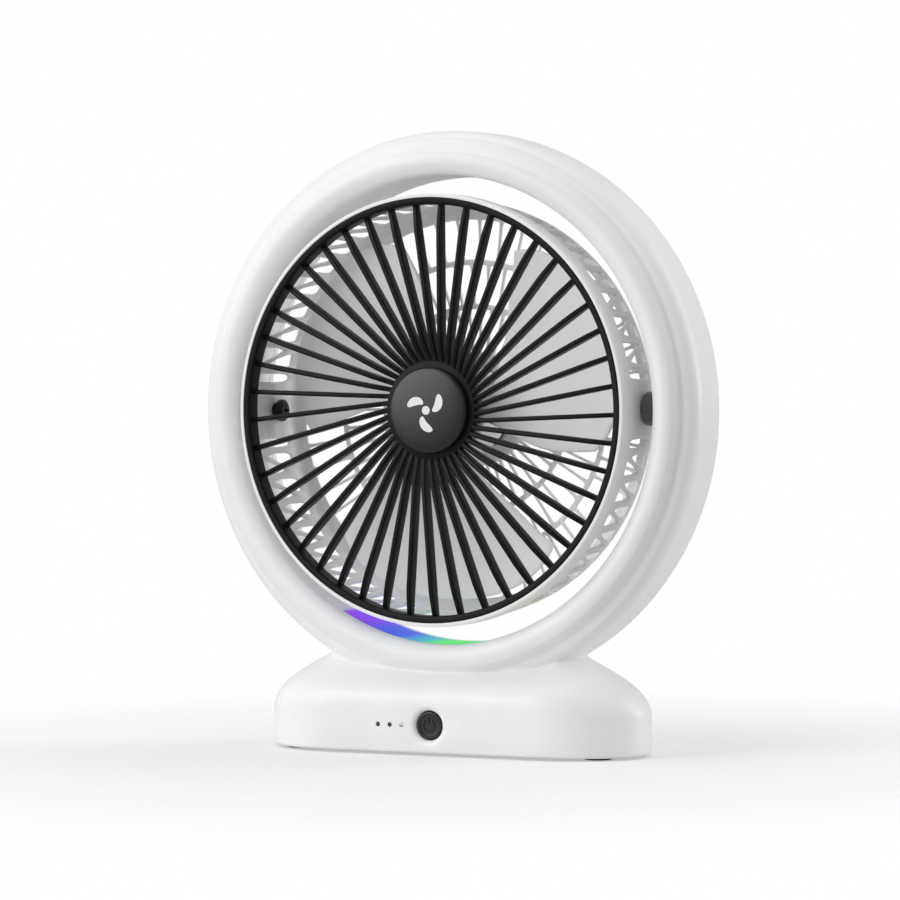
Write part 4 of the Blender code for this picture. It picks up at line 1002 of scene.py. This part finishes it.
def makePivots():
    near, far = sorted(abs(corner.x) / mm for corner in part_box("pivot_pin_right"))
    corners = [(0.0, near + 0.1), (2.6, near, 0.6), (pivot["pinHead"], near + 0.9, 0.4),
               (pivot["pinHead"], near + 2.2), (pivot["pin"], near + 2.2), (pivot["pin"], far), (0.0, far)]
    pin = turned("pin", filleted(corners, 4), 48)
    smoothed(cut(pin, moved(driveCross(1.9, 1.1, 0.8), (0, near, 0), 180.0, "X")))
    near, far = sorted(abs(corner.x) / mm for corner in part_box("pivot_bush_right"))
    bore = pivot["pin"] + pivot["play"]
    corners = [(bore, near), (pivot["bush"], near, 0.5), (pivot["bush"], far, 0.2), (bore, far)]
    bush = smoothed(turned("bush", filleted(corners, 4), 64))
    for name, turn in (("left", 90.0), ("right", -90.0)):
        piece = moved(copied(pin, f"pivotPin{name.title()}"), hub, turn, "Z")
        fitted(piece, "head", "grey_plastic", f"pivot_pin_{name}")
        piece = moved(copied(bush, f"pivotBush{name.title()}"), hub, turn, "Z")
        fitted(piece, "head", "grey_plastic", f"pivot_bush_{name}", material=bushing)
    bpy.data.objects.remove(pin)
    bpy.data.objects.remove(bush)


def makeMotorCover():
    low, high = [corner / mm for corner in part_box("motor_rear_cover")]
    radius = (high.x - low.x) / 2
    front, back = low.y - hub.y, high.y - hub.y
    corners = [(0.0, back - 1.2), (radius - 1.2, back - 1.2), (radius - 1.2, front), (radius, front),
               (radius, back, 1.1), (radius * 0.72, back, 0.3), (radius * 0.7, back - 0.35, 0.3),
               (radius * 0.64, back - 0.35, 0.3), (radius * 0.62, back, 0.3), (0.0, back)]
    cover = moved(turned("motorCover", filleted(corners, 4), 96), hub)
    fitted(smoothed(cover), "head", "white_plastic", "motor_rear_cover")


fan = {
    "blades": 3, "first": 140.0, "sweep": 82.0, "rootShare": 0.62, "lean": 14.0, "twist": 0.35,
    "front": -8.5, "rear": 6.5, "tip": 66.0, "cornerCut": 7.0, "thickness": 1.5, "edge": 0.45,
    "hub": 16.0, "hubWall": 1.4, "hubFront": -8.0, "hubRear": 10.0, "hubFace": 1.7, "bore": 1.8,
}


def makeBlade():
    deselect()
    across, out = 44, 30                # how finely the blade is divided
    bpy.ops.mesh.primitive_grid_add(x_subdivisions=across, y_subdivisions=out, size=1.0)
    blade = named("blade")
    root = fan["hub"] - fan["hubWall"] * 0.6
    for vertex in blade.data.vertices:
        u, v = vertex.co.x, vertex.co.y + 0.5
        tip = fan["tip"] - fan["cornerCut"] * (2 * u) ** 4
        radius = root + (tip - root) * v
        spread = fan["sweep"] * (fan["rootShare"] + (1.0 - fan["rootShare"]) * sin(pi * min(v * 0.75, 0.5)))
        turn = radians(spread * u + fan["lean"] * (v - 0.5))
        flat = 1.0 - fan["twist"] * v
        along = (fan["front"] + fan["rear"]) / 2 + (fan["rear"] - fan["front"]) * u * flat
        vertex.co = Vector((radius * cos(turn), along, radius * sin(turn))) * mm
    tidied(blade)
    applied(blade, "SOLIDIFY", thickness=fan["thickness"] * mm, offset=0.0)
    return applied(blade, "BEVEL", width=fan["edge"] * mm, segments=3, limit_method="ANGLE",
                   angle_limit=radians(50.0))


def makeFan():
    inner = fan["hub"] - fan["hubWall"]
    face = fan["hubFront"] + fan["hubFace"]
    bore = fan["bore"]
    corners = [(bore, fan["hubFront"]), (fan["hub"], fan["hubFront"], 2.2), (fan["hub"], fan["hubRear"], 0.3),
               (inner, fan["hubRear"], 0.3), (inner, face, 0.5), (bore, face)]
    centre = turned("fanBlades", filleted(corners, 5), 96)
    first = spun(makeBlade(), fan["first"])
    blades = [first]
    for i in range(1, fan["blades"]):
        blades.append(spun(copied(first, "blade"), 360.0 * i / fan["blades"]))
    core = rod("core", inner - 0.02, fan["hubFront"] - 20.0, fan["hubRear"] + 20.0, 96)
    united(centre, cut(joined("blades", blades), core))
    moved(tidied(centre, 0.000002), hub)
    fitted(smoothed(centre, 35.0), "fan", "blade_plastic", "fan_blades")
    print("fan:", len(centre.data.polygons), "faces")


def finishNodes():
    # every CAD node gets the procedural finish of its slot
    slots = {part["node"]: part["material_slot"] for part in frame["record"]["subparts"]}
    for name, node in frame["nodes"].items():
        node.data.materials.clear()
        node.data.materials.append(finishes[slots[name]])


studio = {
    "azimuth": 28.6, "elevation": 0.5, "distance": 1329.9, "roll": -0.5, "lens": 157.0,
    "shift": (0.0524, -0.0434), "target": (0.0, -37.3, 0.0),
    "floorRadius": 500.0, "floorFade": (80.0, 300.0), "floorThin": 0.35, "skyLight": 0.44,
}


def makeStage():
    deselect()
    bpy.ops.mesh.primitive_circle_add(vertices=96, radius=studio["floorRadius"] * mm, fill_type="NGON",
                                      location=(0, 0, -0.0001))
    floor = named("floor")
    material, shader = surface("paleStudioFloor", {"Roughness": 0.9, "Specular IOR Level": 0.1})
    shader.inputs["Base Color"].default_value = hexColour("F2F2F2")
    # towards its edge the floor fades into the white room, so no horizon shows
    place = addNode(material, "TexCoord", {}).outputs["Object"]
    reach = addNode(material, "VectorMath", {"operation": "LENGTH"}, Vector=place)
    near, far = studio["floorFade"]
    fade = addNode(material, "MapRange", {"From Min": near * mm, "From Max": far * mm,
                                          "To Min": studio["floorThin"], "interpolation_type": "SMOOTHSTEP"},
                   Value=reach.outputs["Value"])
    clear = addNode(material, "BsdfTransparent", {})
    mix = addNode(material, "MixShader", {}, Fac=fade.outputs["Result"], i1=shader.outputs["BSDF"],
                  i2=clear.outputs["BSDF"])
    output = material.node_tree.nodes["Material Output"]
    material.node_tree.links.new(mix.outputs["Shader"], output.inputs["Surface"])
    floor.data.materials.append(material)


def makeSky():
    world = bpy.data.worlds.new("studio")
    bpy.context.scene.world = world
    world.use_nodes = True
    backdrop = world.node_tree.nodes["Background"]         # what the camera sees: plain white
    backdrop.inputs["Color"].default_value = (1, 1, 1, 1)
    light = addNode(world, "Background", {"Color": (1, 1, 1, 1), "Strength": studio["skyLight"]})
    ray = addNode(world, "LightPath", {})
    mix = addNode(world, "MixShader", {}, Fac=ray.outputs["Is Camera Ray"], i1=light.outputs["Background"],
                  i2=backdrop.outputs["Background"])
    output = world.node_tree.nodes["World Output"]
    world.node_tree.links.new(mix.outputs["Shader"], output.inputs["Surface"])
    bpy.context.scene.view_settings.view_transform = "Standard"


def makeLight(name, place, size, power):
    bpy.ops.object.light_add(type="AREA", location=Vector(place) * mm)
    lamp = bpy.context.object
    lamp.name = name
    lamp.data.shape = "DISK"
    lamp.data.size = size * mm
    lamp.data.energy = power
    lamp.rotation_euler = (hub * mm - lamp.location).to_track_quat("-Z", "Y").to_euler()


def makeCamera():
    target = (hub + Vector(studio["target"])) * mm
    turn, rise = radians(studio["azimuth"]), radians(studio["elevation"])
    back = Vector((sin(turn) * cos(rise), -cos(turn) * cos(rise), sin(rise)))
    bpy.ops.object.camera_add(location=target + back * studio["distance"] * mm)
    camera = bpy.context.object
    camera.name = "camera"
    roll = Matrix.Rotation(radians(studio["roll"]), 4, "Z")
    facing = (-back).to_track_quat("-Z", "Y").to_matrix().to_4x4() @ roll
    camera.rotation_euler = facing.to_euler()
    camera.data.lens = studio["lens"]
    camera.data.shift_x, camera.data.shift_y = studio["shift"]
    camera.data.clip_start = 0.05
    camera.data.clip_end = 50.0
    bpy.context.scene.camera = camera


finishNodes()
makeStand()
makeLiner()
makeButton()
makeLamps()
makeFeet()
makeScrews()
makePort()
print("stand made")
makeBasket()
makeGrille()
makeCap()
makeCapMark()
makePivots()
makeMotorCover()
print("head made")
makeFan()
makeStage()
makeSky()
makeLight("keyLight", (-1250, -1600, 800), 1700, 24.0)
makeLight("sideLight", (-1900, 0, 500), 1200, 3.0)
makeLight("topLight", (-200, -200, 1900), 1400, 8.0)
makeLight("backLight", (1500, 800, 1000), 1200, 9.0)
makeLight("edgeLight", (1500, 900, 250), 400, 5.0)
makeCamera()
print("studio made")
